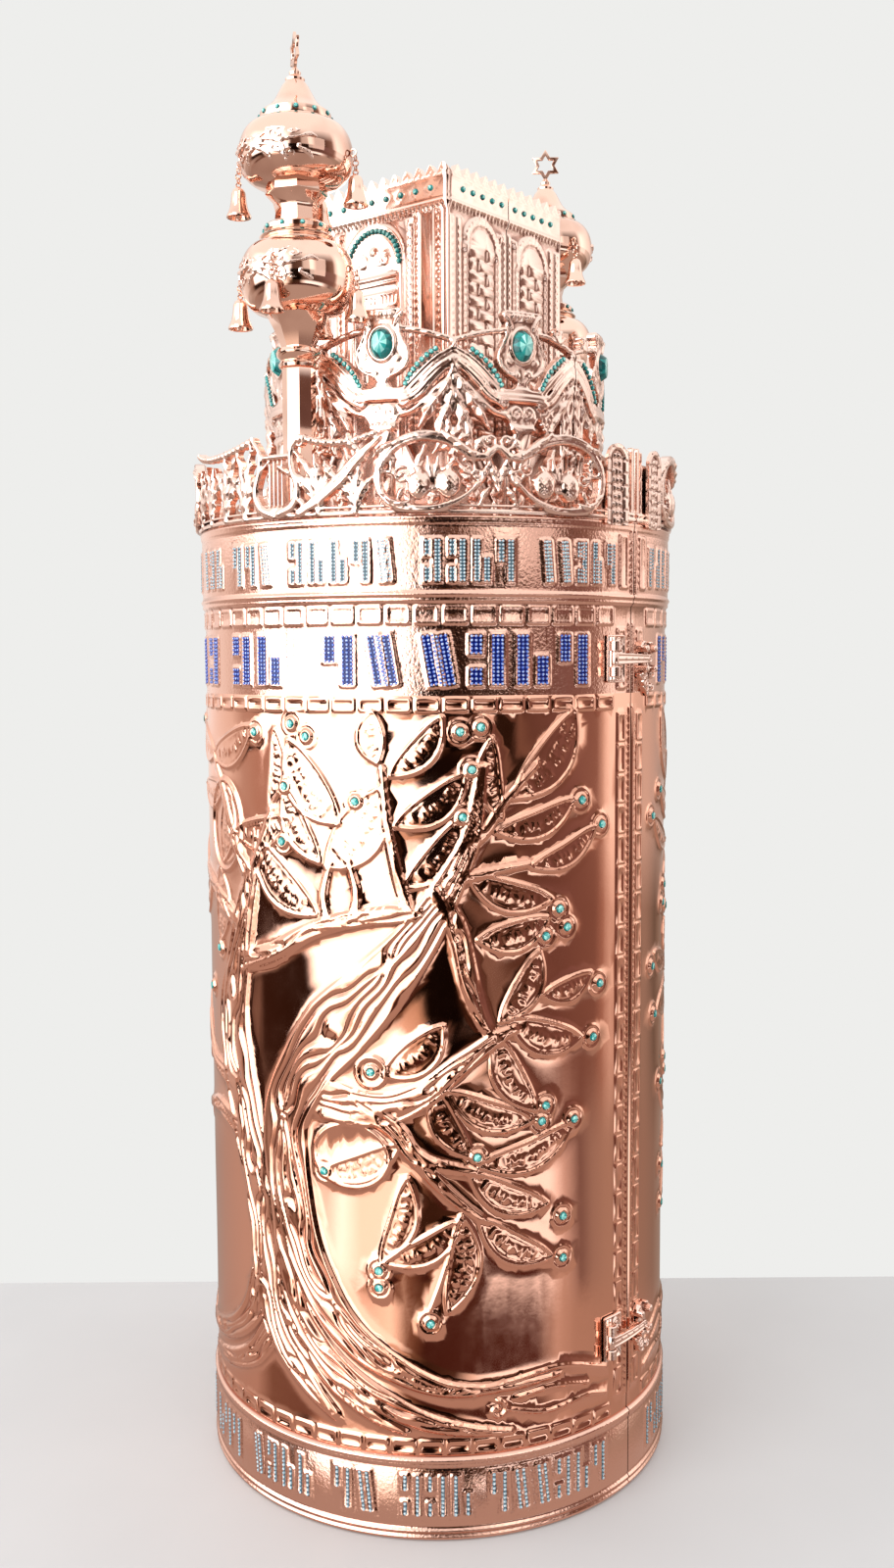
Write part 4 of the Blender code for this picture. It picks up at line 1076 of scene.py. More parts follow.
def shield_half_width(up):
    """Half width of a shield in mm at a height: full cheeks, a narrow neck and a flared top."""
    return np.interp(up, (667.0, 669.0, 671.5, 675.0, 680.5, 686.5, 691.5, 696.5, 701.5, 706.0, 709.0),
                     (2.6, 4.6, 10.0, 14.6, 17.0, 15.8, 12.4, 10.8, 11.2, 12.6, 12.2), left=0.0, right=0.0)


def shield(sheet, angle):
    """A shield with an oval stone, its plinth, its capital and the twisted column below."""
    centre = angle * sheet.unit
    part = sheet.window((centre - 20, 588), (centre + 20, 709.5))
    ds, dz = sheet.S[part] - centre, sheet.Z[part]
    side = np.abs(ds)
    twist = 1.1 * np.abs(np.cos(np.pi * (dz / 15.0 + ds / 9.0)))
    value = np.where((side < 6.6) & (dz < 642), 0.6 + 2.6 * dome(side / 6.6) + twist, 0.0)
    for low, high, half, rise in ((588, 593, 9.0, 3.2), (593, 597, 7.8, 3.9), (639.5, 643.5, 8.6, 4.2)):
        value = raised(value, (dz > low) & (dz < high) & (side < half), rise)
    bowl = 8.0 + 6.4 * np.sin(np.clip((dz - 643.5) / 13.5, 0, 1) * math.pi / 2)
    leaves = 0.5 * np.abs(np.cos(np.pi * side / 4.3)) * (dz < 649)
    value = raised(value, (dz > 643) & (dz < 656.5) & (side < bowl), 2.6 + leaves)
    slope = np.clip((dz - 656.5) / 8.5, 0, 1)
    steps = line_at(dz, 657.4, 0.7) + 0.8 * line_at(dz, 660.4, 0.5) + line_at(dz, 664.2, 0.6)
    plinth = (dz > 656.5) & (dz < 665) & (side < 16.8 - 4.6 * slope)
    value = raised(value, plinth, 4.3 - 1.5 * slope + 0.7 * steps)
    value = raised(value, (dz >= 664.5) & (dz < 668) & (side < 6.5 - (dz - 664.5)), 2.8)
    wide = shield_half_width(dz)
    edge = np.minimum(wide - side, 709.2 - dz)
    swell = 0.9 * dome(np.clip(side / np.maximum(wide, 1.0), 0, 1))
    field = 2.0 + swell + 1.5 * line_at(edge, 0.9, 0.7) + 0.8 * line_at(edge, 3.4, 0.5)
    value = raised(value, (wide - side > 0) & (dz > 667.5), field)
    value = raised(value, (dz > 703.6) & (dz < 707.2) & (side < 7.6) & (np.mod(side + 1.1, 3.0) < 2.2), 4.4)
    sheet.lift(part, value, value > 0)
    for hand in (-1, 1):
        def at(across, up):
            return (angle + hand * across / sheet.unit, up)

        sheet.ring(at(4.2, 650.6), 3.1, 0.6, 4.4, fill=2.8)
        sheet.ball(at(4.2, 650.6), 1.2, 4.3)
        sheet.wire((at(7.4, 699.0), at(9.2, 703.5), at(12.6, 706.8), at(11.8, 702.6)),
                   (0.9, 1.1, 1.0, 0.7), 4.9)
        sheet.wire((at(9.6, 697), at(12.6, 690), at(15.2, 682), at(12.4, 674.5), at(6.4, 671.2)),
                   (0.7, 0.9, 1.0, 0.9, 0.6), 4.4)
        sheet.curl(at(4.2, 672.6), 2.2, 1.1, 0, -hand, 0.8, 4.2)
        sheet.curl(at(8.6, 679.4), 2.0, 1.1, 180, hand, 0.7, 3.9)
    sheet.ring((angle, 689.0), 7.4, 0.9, 4.8, tall=1.3, fill=2.4)


def ribbon(sheet, path, widths, rise, twist):
    """A gadrooned ribbon: a raised strip crossed by slanting flutes."""
    part, side, along, wide, _ = sheet.trace(path, widths)
    share = np.abs(side) / wide
    flutes = 0.35 * np.cos(2 * np.pi * (along + side * 0.9) / twist)
    folds = 0.55 + 0.45 * dome(share)
    sheet.press(part, rise * folds + flutes + 0.8 * line_at(share, 0.86, 0.12), share < 1)


def reeded(sheet, path, widths, rise, reeds):
    """A smooth strip of parallel round reeds."""
    part, side, _, wide, _ = sheet.trace(path, widths)
    share = side / wide
    reed = np.abs(np.cos(0.5 * np.pi * reeds * share + (0.0 if reeds % 2 else 0.5 * np.pi)))
    sheet.press(part, rise * (0.55 + 0.35 * reed ** 0.7 + 0.10 * dome(share)), np.abs(share) < 1)


SHIELDS = (22.5, 67.5, 112.5, 157.5)      # where the shields stand, as angles
# The line of small stones beside a shield: mm from its middle, and height.
TEAL_ARC = ((13.6, 666.0), (16.2, 671.0), (20.2, 676.6), (25.6, 681.8), (30.5, 685.2))


def bay(sheet, middle):
    """The arch between two shields: reeded strips that meet at its peak, and drapes inside it."""
    reach = 22.5
    for hand in (-1, 1):
        def at(*spots):
            """Places from (angle from the shield, height) pairs."""
            return [(middle - hand * (reach - across), up) for across, up in spots]

        reeded(sheet, at((7.4, 662.5), (10.4, 668), (13.8, 674.5), (17.8, 680.6), (22.5, 685.5)), 2.6, 3.6, 2)
        reeded(sheet, at((6.8, 656), (11.4, 661), (14.8, 668), (18.6, 674.6), (22.5, 679.5)),
               (3.2, 3.4, 3.4, 3.2, 2.8), 4.4, 3)
        sheet.wire(at((5.8, 649), (10.2, 652), (14.8, 659), (18.4, 666), (22.4, 672)),
                   (1.8, 2.4, 2.6, 2.4, 1.6), 2.8)
        ribbon(sheet, at((5.8, 697.5), (11.0, 696), (16.5, 693.6), (22.5, 690.6)), 1.8, 2.6, 8.0)
        for path, widths, rise, lobes in (
                (at((22.3, 676), (19.8, 664), (15.4, 654), (11.4, 641)), (1.6, 4.4, 5.0, 1.4), 3.8, 4),
                (at((22.4, 671), (21.4, 657), (18.6, 644), (17.0, 630)), (1.4, 4.2, 4.8, 1.4), 3.2, 4),
                (at((9.0, 590), (8.6, 604), (10.8, 618), (13.4, 632)), (3.2, 4.8, 4.8, 1.4), 2.8, 6),
                (at((15.4, 590), (16.0, 602), (18.4, 614), (21.6, 622)), (3.2, 5.0, 4.8, 1.4), 2.8, 6),
                (at((20.4, 648), (20.8, 641), (18.8, 634)), (1.0, 3.4, 0.9), 3.2, 4),
                (at((18.0, 640), (18.4, 633), (15.6, 626)), (1.0, 3.4, 0.9), 3.2, 4),
                (at((21.4, 634), (21.8, 627), (22.6, 620)), (1.0, 3.4, 0.9), 3.2, 4)):
            sheet.acanthus(path, widths, rise, lobes)
    for turn in range(6):                                     # an open flower under the peak
        lean = math.radians(60 * turn + 30)
        half, tip = [(middle + long * math.cos(lean) / sheet.unit, 633 + long * math.sin(lean))
                     for long in (4.6, 8.2)]
        sheet.acanthus(((middle, 633), half, tip), (1.4, 3.4, 1.0), 3.8, 2)
    sheet.ball((middle, 633), 2.8, 4.4)
    sheet.ball((middle, 688.0), 2.4, 4.6)


def grapes(sheet, angle, high, rows):
    """A bunch of grapes that hangs from a point."""
    pitch = 3.3
    for row in range(rows):
        across = rows - row if row else rows - 1
        for index in range(across):
            shift = (index - (across - 1) / 2) * pitch
            sheet.ball((angle + shift / sheet.unit, high - row * pitch * 0.86), 1.9, 3.0)


def coronet():
    """The inner coronet of shields on twisted columns, with draped arches between them."""
    unit = math.radians(CORONET)
    sheet = Sheet(math.pi * CORONET, 588.5, 709.2, 0.66, unit, pierced=True)
    rails(sheet, 2.4, (590.0, 1.8), (594.5, 1.1))
    for middle in (0.0, 45.0, 90.0, 135.0, 180.0):
        bay(sheet, middle)
    for angle in SHIELDS:
        for hand in (-1, 1):
            sheet.wire([(angle + hand * across / unit, up) for across, up in TEAL_ARC], 2.3, 3.2)
        shield(sheet, angle)
    for angle, hand in ((0.0, 1), (180.0, -1)):
        for across in (1.0, 3.2, 5.4):
            spot = angle + hand * across
            sheet.wire(((spot, 592), (spot, 686)), 1.7, 3.0)
        grapes(sheet, angle + hand * 12.5, 654.0, 6)
        for turn in range(5):
            lean = math.radians(20 + 32 * turn)
            tip = (angle + hand * 7.5 + 7 * math.cos(lean) / unit, 693 + 9 * math.sin(lean))
            sheet.wire(((angle + hand * 7.5, 693), tip), (0.9, 1.6), 3.2)
    sheet.height = blurred(sheet.height, 1, 1)
    return beaten(sheet, *on_drum(CORONET), 70000, -2.4, True)


def coronet_stones():
    """Places of the oval stones and of the small stones on the arcs, on the left half."""
    ovals, arcs = [], []
    unit = math.radians(CORONET)
    for angle in SHIELDS:
        ovals.append((*on_wall(CORONET, angle * unit, 689.0, 2.9), 6.7))
        for hand in (-1, 1):
            for across, up in smooth_path(TEAL_ARC, 2.6):
                arcs.append((*on_wall(CORONET, angle * unit + hand * across, up, 3.0), 1.75))
    return ovals, arcs


# ---------------------------------------------------------------- temple

TEMPLE_X, TEMPLE_Y = 58.0, 57.0          # half width and half depth of its walls
TURN = 2.4                               # radius of its corners
FRONT = TEMPLE_X - SEAM - TURN           # flat length of half the front, and of half the back
CORNER = TURN * math.pi / 2
SIDE = 2 * (TEMPLE_Y - TURN)
COURT = 2 * FRONT + 2 * CORNER + SIDE    # the whole way round one half


def bend_court(across, up, height):
    """Fold a sheet round the left half of the temple: front, side and back."""
    ends = np.array([0.0, FRONT, FRONT + CORNER, FRONT + CORNER + SIDE, COURT - FRONT, COURT])
    run = np.clip(across, 0.0, COURT)
    turn = np.interp(run, ends, (0.0, 0.0, math.pi / 2, math.pi / 2, math.pi, math.pi))
    reach = TURN + height
    x = np.interp(run, ends, (-SEAM, -SEAM - FRONT, -SEAM - FRONT, -SEAM - FRONT, -SEAM - FRONT, -SEAM))
    y = np.interp(run, ends, (-TEMPLE_Y + TURN, -TEMPLE_Y + TURN, -TEMPLE_Y + TURN,
                              TEMPLE_Y - TURN, TEMPLE_Y - TURN, TEMPLE_Y - TURN))
    return np.stack([x - reach * np.sin(turn), y - reach * np.cos(turn), up], -1)


def flatten_court(points):
    """The way back from the folded temple wall to the flat sheet."""
    x, y = points[:, 0], points[:, 1]
    near_x, near_y = -SEAM - FRONT, TEMPLE_Y - TURN
    ds, dz = np.minimum(x - near_x, 0.0), y - np.clip(y, -near_y, near_y)
    turn = np.arctan2(-ds, -dz)
    front = (x > near_x) & (y < 0)
    back = (x > near_x) & (y >= 0)
    turn = np.where(front, 0.0, np.where(back, math.pi, turn))
    reach = np.where(front | back, np.abs(dz), np.hypot(ds, dz))
    across = np.where(front, -SEAM - x, FRONT + CORNER / (math.pi / 2) * np.minimum(turn, math.pi / 2))
    middle = FRONT + CORNER + (y + near_y)
    on_side = (~front) & (~back) & (np.abs(y) < near_y)
    across = np.where(on_side, middle, across)
    late = (~front) & (~back) & (y >= near_y)
    across = np.where(late, FRONT + CORNER + SIDE + CORNER / (math.pi / 2) * (turn - math.pi / 2), across)
    across = np.where(back, COURT + SEAM + x, across)
    return across, points[:, 2], reach - TURN


def pillar(sheet, across, low, high, half):
    """A roped column with a base and a capital."""
    part = sheet.window((across - half - 2, low), (across + half + 2, high))
    ds, dz = sheet.S[part] - across, sheet.Z[part]
    share = np.abs(ds) / half
    value = 1.9 * dome(share) + 0.45 * np.cos(2 * np.pi * (dz / 4.4 + ds / 4.4)) * (share < 1)
    ends = np.minimum(dz - low, high - dz)
    cap = (ends < 4.5) & (np.abs(ds) < half + 1.4 - 0.2 * ends)
    sheet.lift(part, raised(value, cap, 2.1))


def dotted_strip(sheet, left, right, low, high):
    """A narrow pilaster with a frame and a row of beads."""
    sheet.panel((left, low), (right, high), 1.5, 0.7, 0.5, 0.6)
    for height in np.arange(low + 3, high - 2, 4.4):
        sheet.ball(((left + right) / 2, height), 1.05, 1.7)


def window(sheet, across):
    """An arched window of bricks under a ring of wedge stones, between slim columns."""
    half, foot, spring = 12.0, 640.0, 754.0
    rows = 16
    for row in range(rows):
        low = foot + (spring - foot) * row / rows
        high = low + (spring - foot) / rows
        middle = across + (-4.0 if row % 2 else 4.0)
        for left, right in ((across - half, middle - 0.8), (middle + 0.8, across + half)):
            sheet.panel((left, low + 0.45), (right, high - 0.45), 1.5, 1.2, 1.4, 0.5)
    part, ds, dz = sheet.around((across, spring), 19)
    reach, turn = np.hypot(ds, dz), np.arctan2(dz, ds)
    wedge = 0.5 + 0.5 * np.cos(turn * 26)
    value = np.where((reach > 12.9) & (reach < 17.0), 1.0 + 0.8 * wedge ** 0.4,
                     np.where(reach < 11.4, 1.2, 0.0))
    value = np.maximum(value, 1.9 * line_at(reach, 12.6, 0.5))
    value = np.maximum(value, 1.8 * line_at(reach, 17.4, 0.6))
    sheet.lift(part, np.where(dz > -0.5, value, 0.0))
    for side in (-1, 1):
        pillar(sheet, across + side * 15.4, 640, spring, 1.7)


GATE_SPRING, GATE_RADIUS = 746.5, 20.5   # of the gateway's arch of stones


def gate(sheet, middle):
    """The side's gateway: an arch outlined in stones over level mouldings and a small niche."""
    spring, radius = GATE_SPRING, GATE_RADIUS
    part, ds, dz = sheet.around((middle, spring), 34)
    reach = np.hypot(ds, dz)
    value = np.maximum(1.7 * line_at(reach, radius + 3.4, 0.8), 1.4 * line_at(reach, radius - 3.0, 0.6))
    value = raised(value, reach < radius + 3.4, 0.5)
    value = np.maximum(value, 0.9 * line_at(reach, radius, 2.4))
    sheet.lift(part, np.where(dz > 0, value, 0.0))
    for side in (-1, 1):
        for reach, high, half, rise in ((radius + 3.4, spring, 1.1, 1.7), (radius - 3.0, 716, 0.8, 1.3)):
            sheet.wire(((middle + side * reach, 640), (middle + side * reach, high)), half, rise)
        sheet.curl((middle + side * 9, 750), 4.0, 1.3, 90, side, 0.8, 1.5)
    for height, rise in ((739, 1.6), (735.5, 1.1), (729, 1.4), (722, 1.0), (717, 1.6)):
        sheet.wire(((middle - radius + 3, height), (middle + radius - 3, height)), 0.9, rise)
    for across in np.arange(middle - 18, middle + 19, 3.0):
        sheet.wire(((across, 723.5), (across, 727.5)), 0.6, 1.0)
    part, ds, dz = sheet.around((middle, 692), 14)
    reach = np.where(dz > 0, np.hypot(ds, dz), np.abs(ds))
    sheet.lift(part, 1.5 * line_at(reach, 8.0, 0.7))
    sheet.ball((middle, 755), 3.0, 1.6)


def temple():
    """The little temple: arched windows in front, a gateway at each side, a jewelled frieze."""
    sheet = Sheet(COURT, 588.5, 797.9, 0.72, 1.0)
    for mirror in (0, 1):
        def at(across):
            return COURT - across if mirror else across

        for near, far, top in ((0.4, 4.2, 768), (45.0, 49.4, 768), (51.2, 55.6, 768),
                               (60.0, 66.8, 772), (78.0, 82.2, 772)):
            dotted_strip(sheet, *sorted((at(near), at(far))), 640, top)
        window(sheet, at(25.6))
        pillar(sheet, at(7.4), 640, 766, 1.5)
        pillar(sheet, at(85.6), 640, 770, 2.0)
    gate(sheet, COURT / 2)
    for corner in (FRONT + CORNER / 2, COURT - FRONT - CORNER / 2):
        sheet.wire(((corner, 589), (corner, 776)), 1.3, 1.6)
    for mirror in (0, 1):                                     # tall slanting recesses beside the corners
        run = (COURT - sheet.S if mirror else sheet.S) - 68.2
        slot = (run > 0) & (run < 8.4) & (sheet.Z > 642) & (sheet.Z < 770)
        sheet.height = np.where(slot, 0.4 - 0.25 * run, sheet.height)
    step = np.clip((sheet.Z - 774.0) / 0.8, 0, 1)
    sheet.height = sheet.height * (1 - step) + 1.5 * step
    dentil = (np.mod(sheet.S, 3.4) < 2.0) & (sheet.Z > 771.4) & (sheet.Z < 774.2)
    sheet.height = np.where(dentil, 1.4, sheet.height)
    for bead in ((775.4, 1.1, 2.4), (778.2, 0.7, 2.0), (789.6, 1.0, 2.3)):
        moulding(sheet, *bead)
    for across, up, _ in frieze_places():
        corners = [(across + 4.0, up), (across, up + 4.4), (across - 4.0, up), (across, up - 4.4)]
        for start, finish in zip(corners, corners[1:] + corners[:1]):
            sheet.wire((start, finish), 0.6, 2.1)
    pitch = COURT / 25
    phase = np.abs(np.mod(sheet.S / pitch, 1.0) - 0.5) * 2.0
    above = sheet.Z - 790.4
    crest = 7.4 * (1.0 - phase ** 1.5)
    sheet.metal = above < crest
    edge = np.minimum(crest - above, 4.0)
    ring = np.hypot(phase * pitch / 2, above - 2.4)
    rim = 1.5 + 0.9 * line_at(edge, 0.9, 0.6) + 0.7 * line_at(ring, 1.6, 0.5)
    sheet.height = np.where(above > 0, rim, sheet.height)
    sheet.height = blurred(sheet.height, 1, 1)
    return beaten(sheet, bend_court, flatten_court, 38000, -2.2, True)


def frieze_places():
    """Centres of the stones in the frieze, across and up on the flat sheet, and their size."""
    places = [(6.5 + 9.6 * step, 783.8, 2.0) for step in range(5)]
    places += [(COURT - across, up, size) for across, up, size in places]
    places += [(COURT / 2 + 11.4 * (step - 4), 783.8, 2.0) for step in range(9)]
    return places


def temple_stones():
    """Stones of the frieze and of the gateway's arch, on the left half."""
    flat = frieze_places()
    for step in range(21):
        turn = math.pi * step / 20
        flat.append((COURT / 2 + GATE_RADIUS * math.cos(turn),
                     GATE_SPRING + GATE_RADIUS * math.sin(turn), 1.85))
    stones = []
    for across, up, size in flat:
        lift = 1.5 if up > 770 else 1.1                       # the frieze stands further out
        here, beyond = bend_court(np.full(2, across), np.full(2, up), lift + np.array((0.0, 1.0)))
        stones.append((here, beyond - here, size))
    return stones


def deck(side, body, name):
    """The temple's flat roof, a thin plate a little below the cresting."""
    reach_x, reach_y = TEMPLE_X - 1.0, TEMPLE_Y - 1.0        # inside the temple's walls
    height, thick = 785.6, 2.4
    bpy.ops.mesh.primitive_cube_add(size=1.0, location=(0, 0, 0))
    piece = named(bpy.context.object, name)
    piece.data.transform(Matrix.Translation(Vector((side * (reach_x + SEAM) / 2, 0, height)) * MM)
                         @ Matrix.Diagonal(((reach_x - SEAM) * MM, 2 * reach_y * MM, thick * MM, 1.0)))
    edit_all(piece, (bpy.ops.mesh.bevel, dict(offset=0.4 * MM, segments=2)))
    finished(piece, CAST_METAL, "cast_ornament", body)


# ---------------------------------------------------------------- turned pieces

def finished(piece, finish, slot_name, body):
    """Give a modelled piece its finish and its body; the slot name is not used."""
    piece.data.materials.clear()
    piece.data.materials.append(finish)
    select(piece)
    bpy.ops.object.shade_smooth_by_angle(angle=math.radians(35.0))
    return given(piece, slot_name, body)


def lathe(profile, sides, centre=(0.0, 0.0)):
    """A turned or faceted body, spun from (radius, height) points in mm and closed at both ends."""
    points = [(0.0, profile[0][1])] + list(profile) + [(0.0, profile[-1][1])]
    mesh = bpy.data.meshes.new("turned")
    mesh.from_pydata([(radius * MM, 0.0, height * MM) for radius, height in points],
                     [(index, index + 1) for index in range(len(points) - 1)], [])
    piece = new_piece("turned", mesh)
    spin(piece, sides, 2 * math.pi)
    mesh.transform(Matrix.Translation((centre[0] * MM, centre[1] * MM, 0.0)))
    return piece


def joined(pieces, name):
    """Several shapes as one piece."""
    select(*pieces)
    bpy.ops.object.join()
    return named(bpy.context.object, name)


def mirrored(piece, name):
    """The same piece at the other side of the seam, with what is said about it."""
    copy = piece.copy()
    copy.data = piece.data.copy()
    bpy.context.scene.collection.objects.link(named(copy, name))
    copy.data.transform(Matrix.Scale(-1.0, 4, (1.0, 0.0, 0.0)))
    copy.data.flip_normals()
    return copy


LOWER_BULB, UPPER_BULB = 727.0, 793.0    # heights of the bulbs' widest places
BULB = 32.6                              # and their radius there


def bulb(centre, low, high, foot, neck):
    """A round bulb's profile between its foot and its neck."""
    points = []
    for height in np.linspace(low, high, 25):
        reach, end = (centre - low, foot) if height < centre else (high - centre, neck)
        share = abs(height - centre) / reach
        points.append((end + (BULB - end) * math.sqrt(max(0.0, 1.0 - share ** 2.2)), height))
    return points


def finial():
    """The left finial: peg, octagonal shaft, two bulbs with faceted waists, a cone and a star."""
    centre = (-FINIAL_X, 0.0)
    shaft = lathe(((8.0, 577), (8.0, 588.4), (12.6, 588.4), (13.0, 590.4), (12.6, 592.2), (10.4, 594.0),
                   (9.6, 596.5), (9.6, 675.0), (10.2, 676.0)), 8, centre)
    rings = lathe(((9.8, 675.5), (11.2, 676.2), (11.6, 677.8), (10.9, 679.2), (10.3, 680.0),
                   (10.9, 680.8), (12.4, 682.2), (12.9, 684.4), (12.0, 686.4), (9.4, 687.2)), 40, centre)
    taper = lathe(((9.3, 686.8), (10.2, 689.0), (14.0, 698.0), (18.2, 706.0), (19.5, 707.5)), 8, centre)
    lower = lathe([(18.0, 705.5)] + bulb(LOWER_BULB, 706, 745.5, 19.0, 20.0)
                  + [(19.6, 746.6), (21.0, 747.6), (21.4, 748.6), (20.2, 749.8), (17.4, 751.0),
                     (18.6, 752.2), (18.8, 754.4), (17.0, 756.0), (12.0, 757.0)], 56, centre)
    waist = lathe(((11.8, 755.5), (12.6, 758.0), (12.0, 763.0), (13.4, 768.0), (16.4, 771.0),
                   (17.8, 773.0), (17.2, 777.0), (14.0, 778.4)), 8, centre)
    upper = lathe([(15.0, 776.5)] + bulb(UPPER_BULB, 777, 811.5, 16.5, 21.0)
                  + [(20.4, 812.6), (20.6, 813.6), (20.2, 816.8), (19.2, 817.8), (15.2, 820.6),
                     (12.0, 824.2), (9.6, 828.6), (7.6, 832.4), (5.4, 835.2), (5.6, 836.4), (4.4, 837.4),
                     (3.2, 838.6), (3.4, 840.2), (2.4, 841.4), (1.4, 842.8)], 56, centre)
    return joined([shaft, rings, taper, lower, waist, upper, star(), hooks()], "left_finial_metal")


def star():
    """Two plain triangles of wire, one over the other, that stand on edge on the finial."""
    tip, notch = 10.8, 6.4
    bpy.ops.mesh.primitive_circle_add(vertices=12, radius=tip * MM, fill_type="NOTHING", location=(0, 0, 0))
    piece = bpy.context.object
    for index, vert in enumerate(piece.data.vertices):
        reach = notch if index % 2 else tip
        turn = math.radians(90 + 30 * index)
        vert.co = (reach * math.cos(turn) * MM, reach * math.sin(turn) * MM, 0.0)
    bpy.ops.object.mode_set(mode="EDIT")
    bpy.ops.mesh.select_all(action="SELECT")
    bpy.ops.mesh.edge_face_add()
    bpy.ops.mesh.inset(thickness=2.1 * MM)
    bpy.ops.mesh.delete(type="FACE")
    bpy.ops.mesh.select_all(action="SELECT")
    bpy.ops.mesh.extrude_region_move(TRANSFORM_OT_translate={"value": (0, 0, 1.8 * MM)})
    bpy.ops.mesh.select_all(action="SELECT")
    bpy.ops.mesh.normals_make_consistent(inside=False)
    bpy.ops.mesh.bevel(offset=0.3 * MM, segments=1)
    bpy.ops.object.mode_set(mode="OBJECT")
    piece.data.transform(Matrix.Translation((-FINIAL_X * MM, 0.0, 852.0 * MM))
                         @ Matrix.Rotation(math.radians(56.0), 4, "Z")
                         @ Matrix.Rotation(math.radians(90.0), 4, "X")
                         @ Matrix.Translation((0, 0, -0.9 * MM)))
    return piece


# Where the bells hang: direction in degrees and height; and how far out, as their hooks do.
BELLS = ((111, 793.0), (291, 793.0), (21, 793.0), (111, 730.0), (201, 730.0), (291, 730.0), (21, 730.0))
BELL_REACH, HOOK_REACH = 36.1, 34.6


def torus(centre, major, minor, turn=0.0, counts=(16, 6)):
    """A small upright ring of wire; centre in mm, turn about the upright axis."""
    select()
    bpy.ops.mesh.primitive_torus_add(major_radius=major * MM, minor_radius=minor * MM,
                                     major_segments=counts[0], minor_segments=counts[1],
                                     location=(0, 0, 0))
    piece = bpy.context.object
    piece.data.transform(Matrix.Translation(Vector(centre) * MM) @ Matrix.Rotation(turn, 4, "Z")
                         @ Matrix.Rotation(math.pi / 2, 4, "X"))
    return piece


def round_finial(reach, azimuth, height):
    """A place round the left finial's axis, in mm."""
    turn = math.radians(azimuth)
    return (-FINIAL_X + reach * math.cos(turn), reach * math.sin(turn), height)


def hooks():
    """The small rings on the bulbs that the bells hang from."""
    return joined([torus(round_finial(HOOK_REACH, azimuth, height - 0.2), 1.9, 0.55, math.radians(azimuth))
                   for azimuth, height in BELLS], "left_hooks")


def bell_shape():
    """A flared bell on two chain links, with its clapper; it hangs from the origin."""
    body = lathe(((0.9, -10.6), (1.2, -11.0), (3.2, -12.2), (4.1, -14.2), (4.5, -18.6), (5.2, -22.4),
                  (6.4, -25.4), (7.2, -27.0), (7.15, -27.9), (6.3, -27.5), (4.6, -22.6), (3.6, -14.6),
                  (0.8, -12.8)), 16)
    ring = torus((0, 0, -9.6), 1.5, 0.5, 0.0, (10, 4))
    links = [torus((0, 0, height), 1.7, 0.45, turn, (10, 4))
             for height, turn in ((-1.9, math.pi / 2), (-4.6, 0.0), (-7.2, math.pi / 2))]
    tongue = lathe(((0.4, -14.0), (0.4, -24.6), (1.5, -25.6), (1.9, -27.0), (1.3, -28.4), (0.3, -28.8)), 10)
    return joined([body, ring, tongue] + links, "bell")


def bells():
    """Seven bells round each finial, each a copy of one model."""
    model = bell_shape()
    for label, side, body in HALVES:
        for index, (azimuth, height) in enumerate(BELLS):
            copy = new_piece(f"{label}_small_bell_{index + 1}", model.data.copy())
            turn = math.radians(azimuth)
            x, y, z = round_finial(BELL_REACH, azimuth, height - 1.4)
            copy.data.transform(Matrix.Translation(Vector((-side * x, y, z)) * MM)
                                @ Matrix.Rotation(turn if side < 0 else math.pi - turn, 4, "Z"))
            finished(copy, TURNED_METAL, "bell_metal", body)
            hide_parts(f"{label}_bell_{index + 1}")
    bpy.data.objects.remove(model)


def on_bulb(centre, tall):
    """Lay a sheet on a bulb: across goes round it, up goes over it, both in mm."""
    axis = np.array((-FINIAL_X, 0.0))
    reach_round = BULB + 0.1

    def bend(across, up, height):
        turn, lift = across / reach_round, up / reach_round
        reach = (reach_round + height) * np.cos(lift)
        return np.stack([axis[0] - reach * np.cos(turn), axis[1] - reach * np.sin(turn),
                         centre + (tall + height) * np.sin(lift)], -1)

    def flatten(points):
        ds, dz = points[:, 0] - axis[0], points[:, 1] - axis[1]
        turn = np.arctan2(-dz, -ds)
        rise = np.arctan2((points[:, 2] - centre) / tall, np.hypot(ds, dz) / reach_round)
        size = np.hypot(np.hypot(ds, dz) / reach_round, (points[:, 2] - centre) / tall)
        return turn * reach_round, rise * reach_round, (size - 1.0) * reach_round

    return bend, flatten


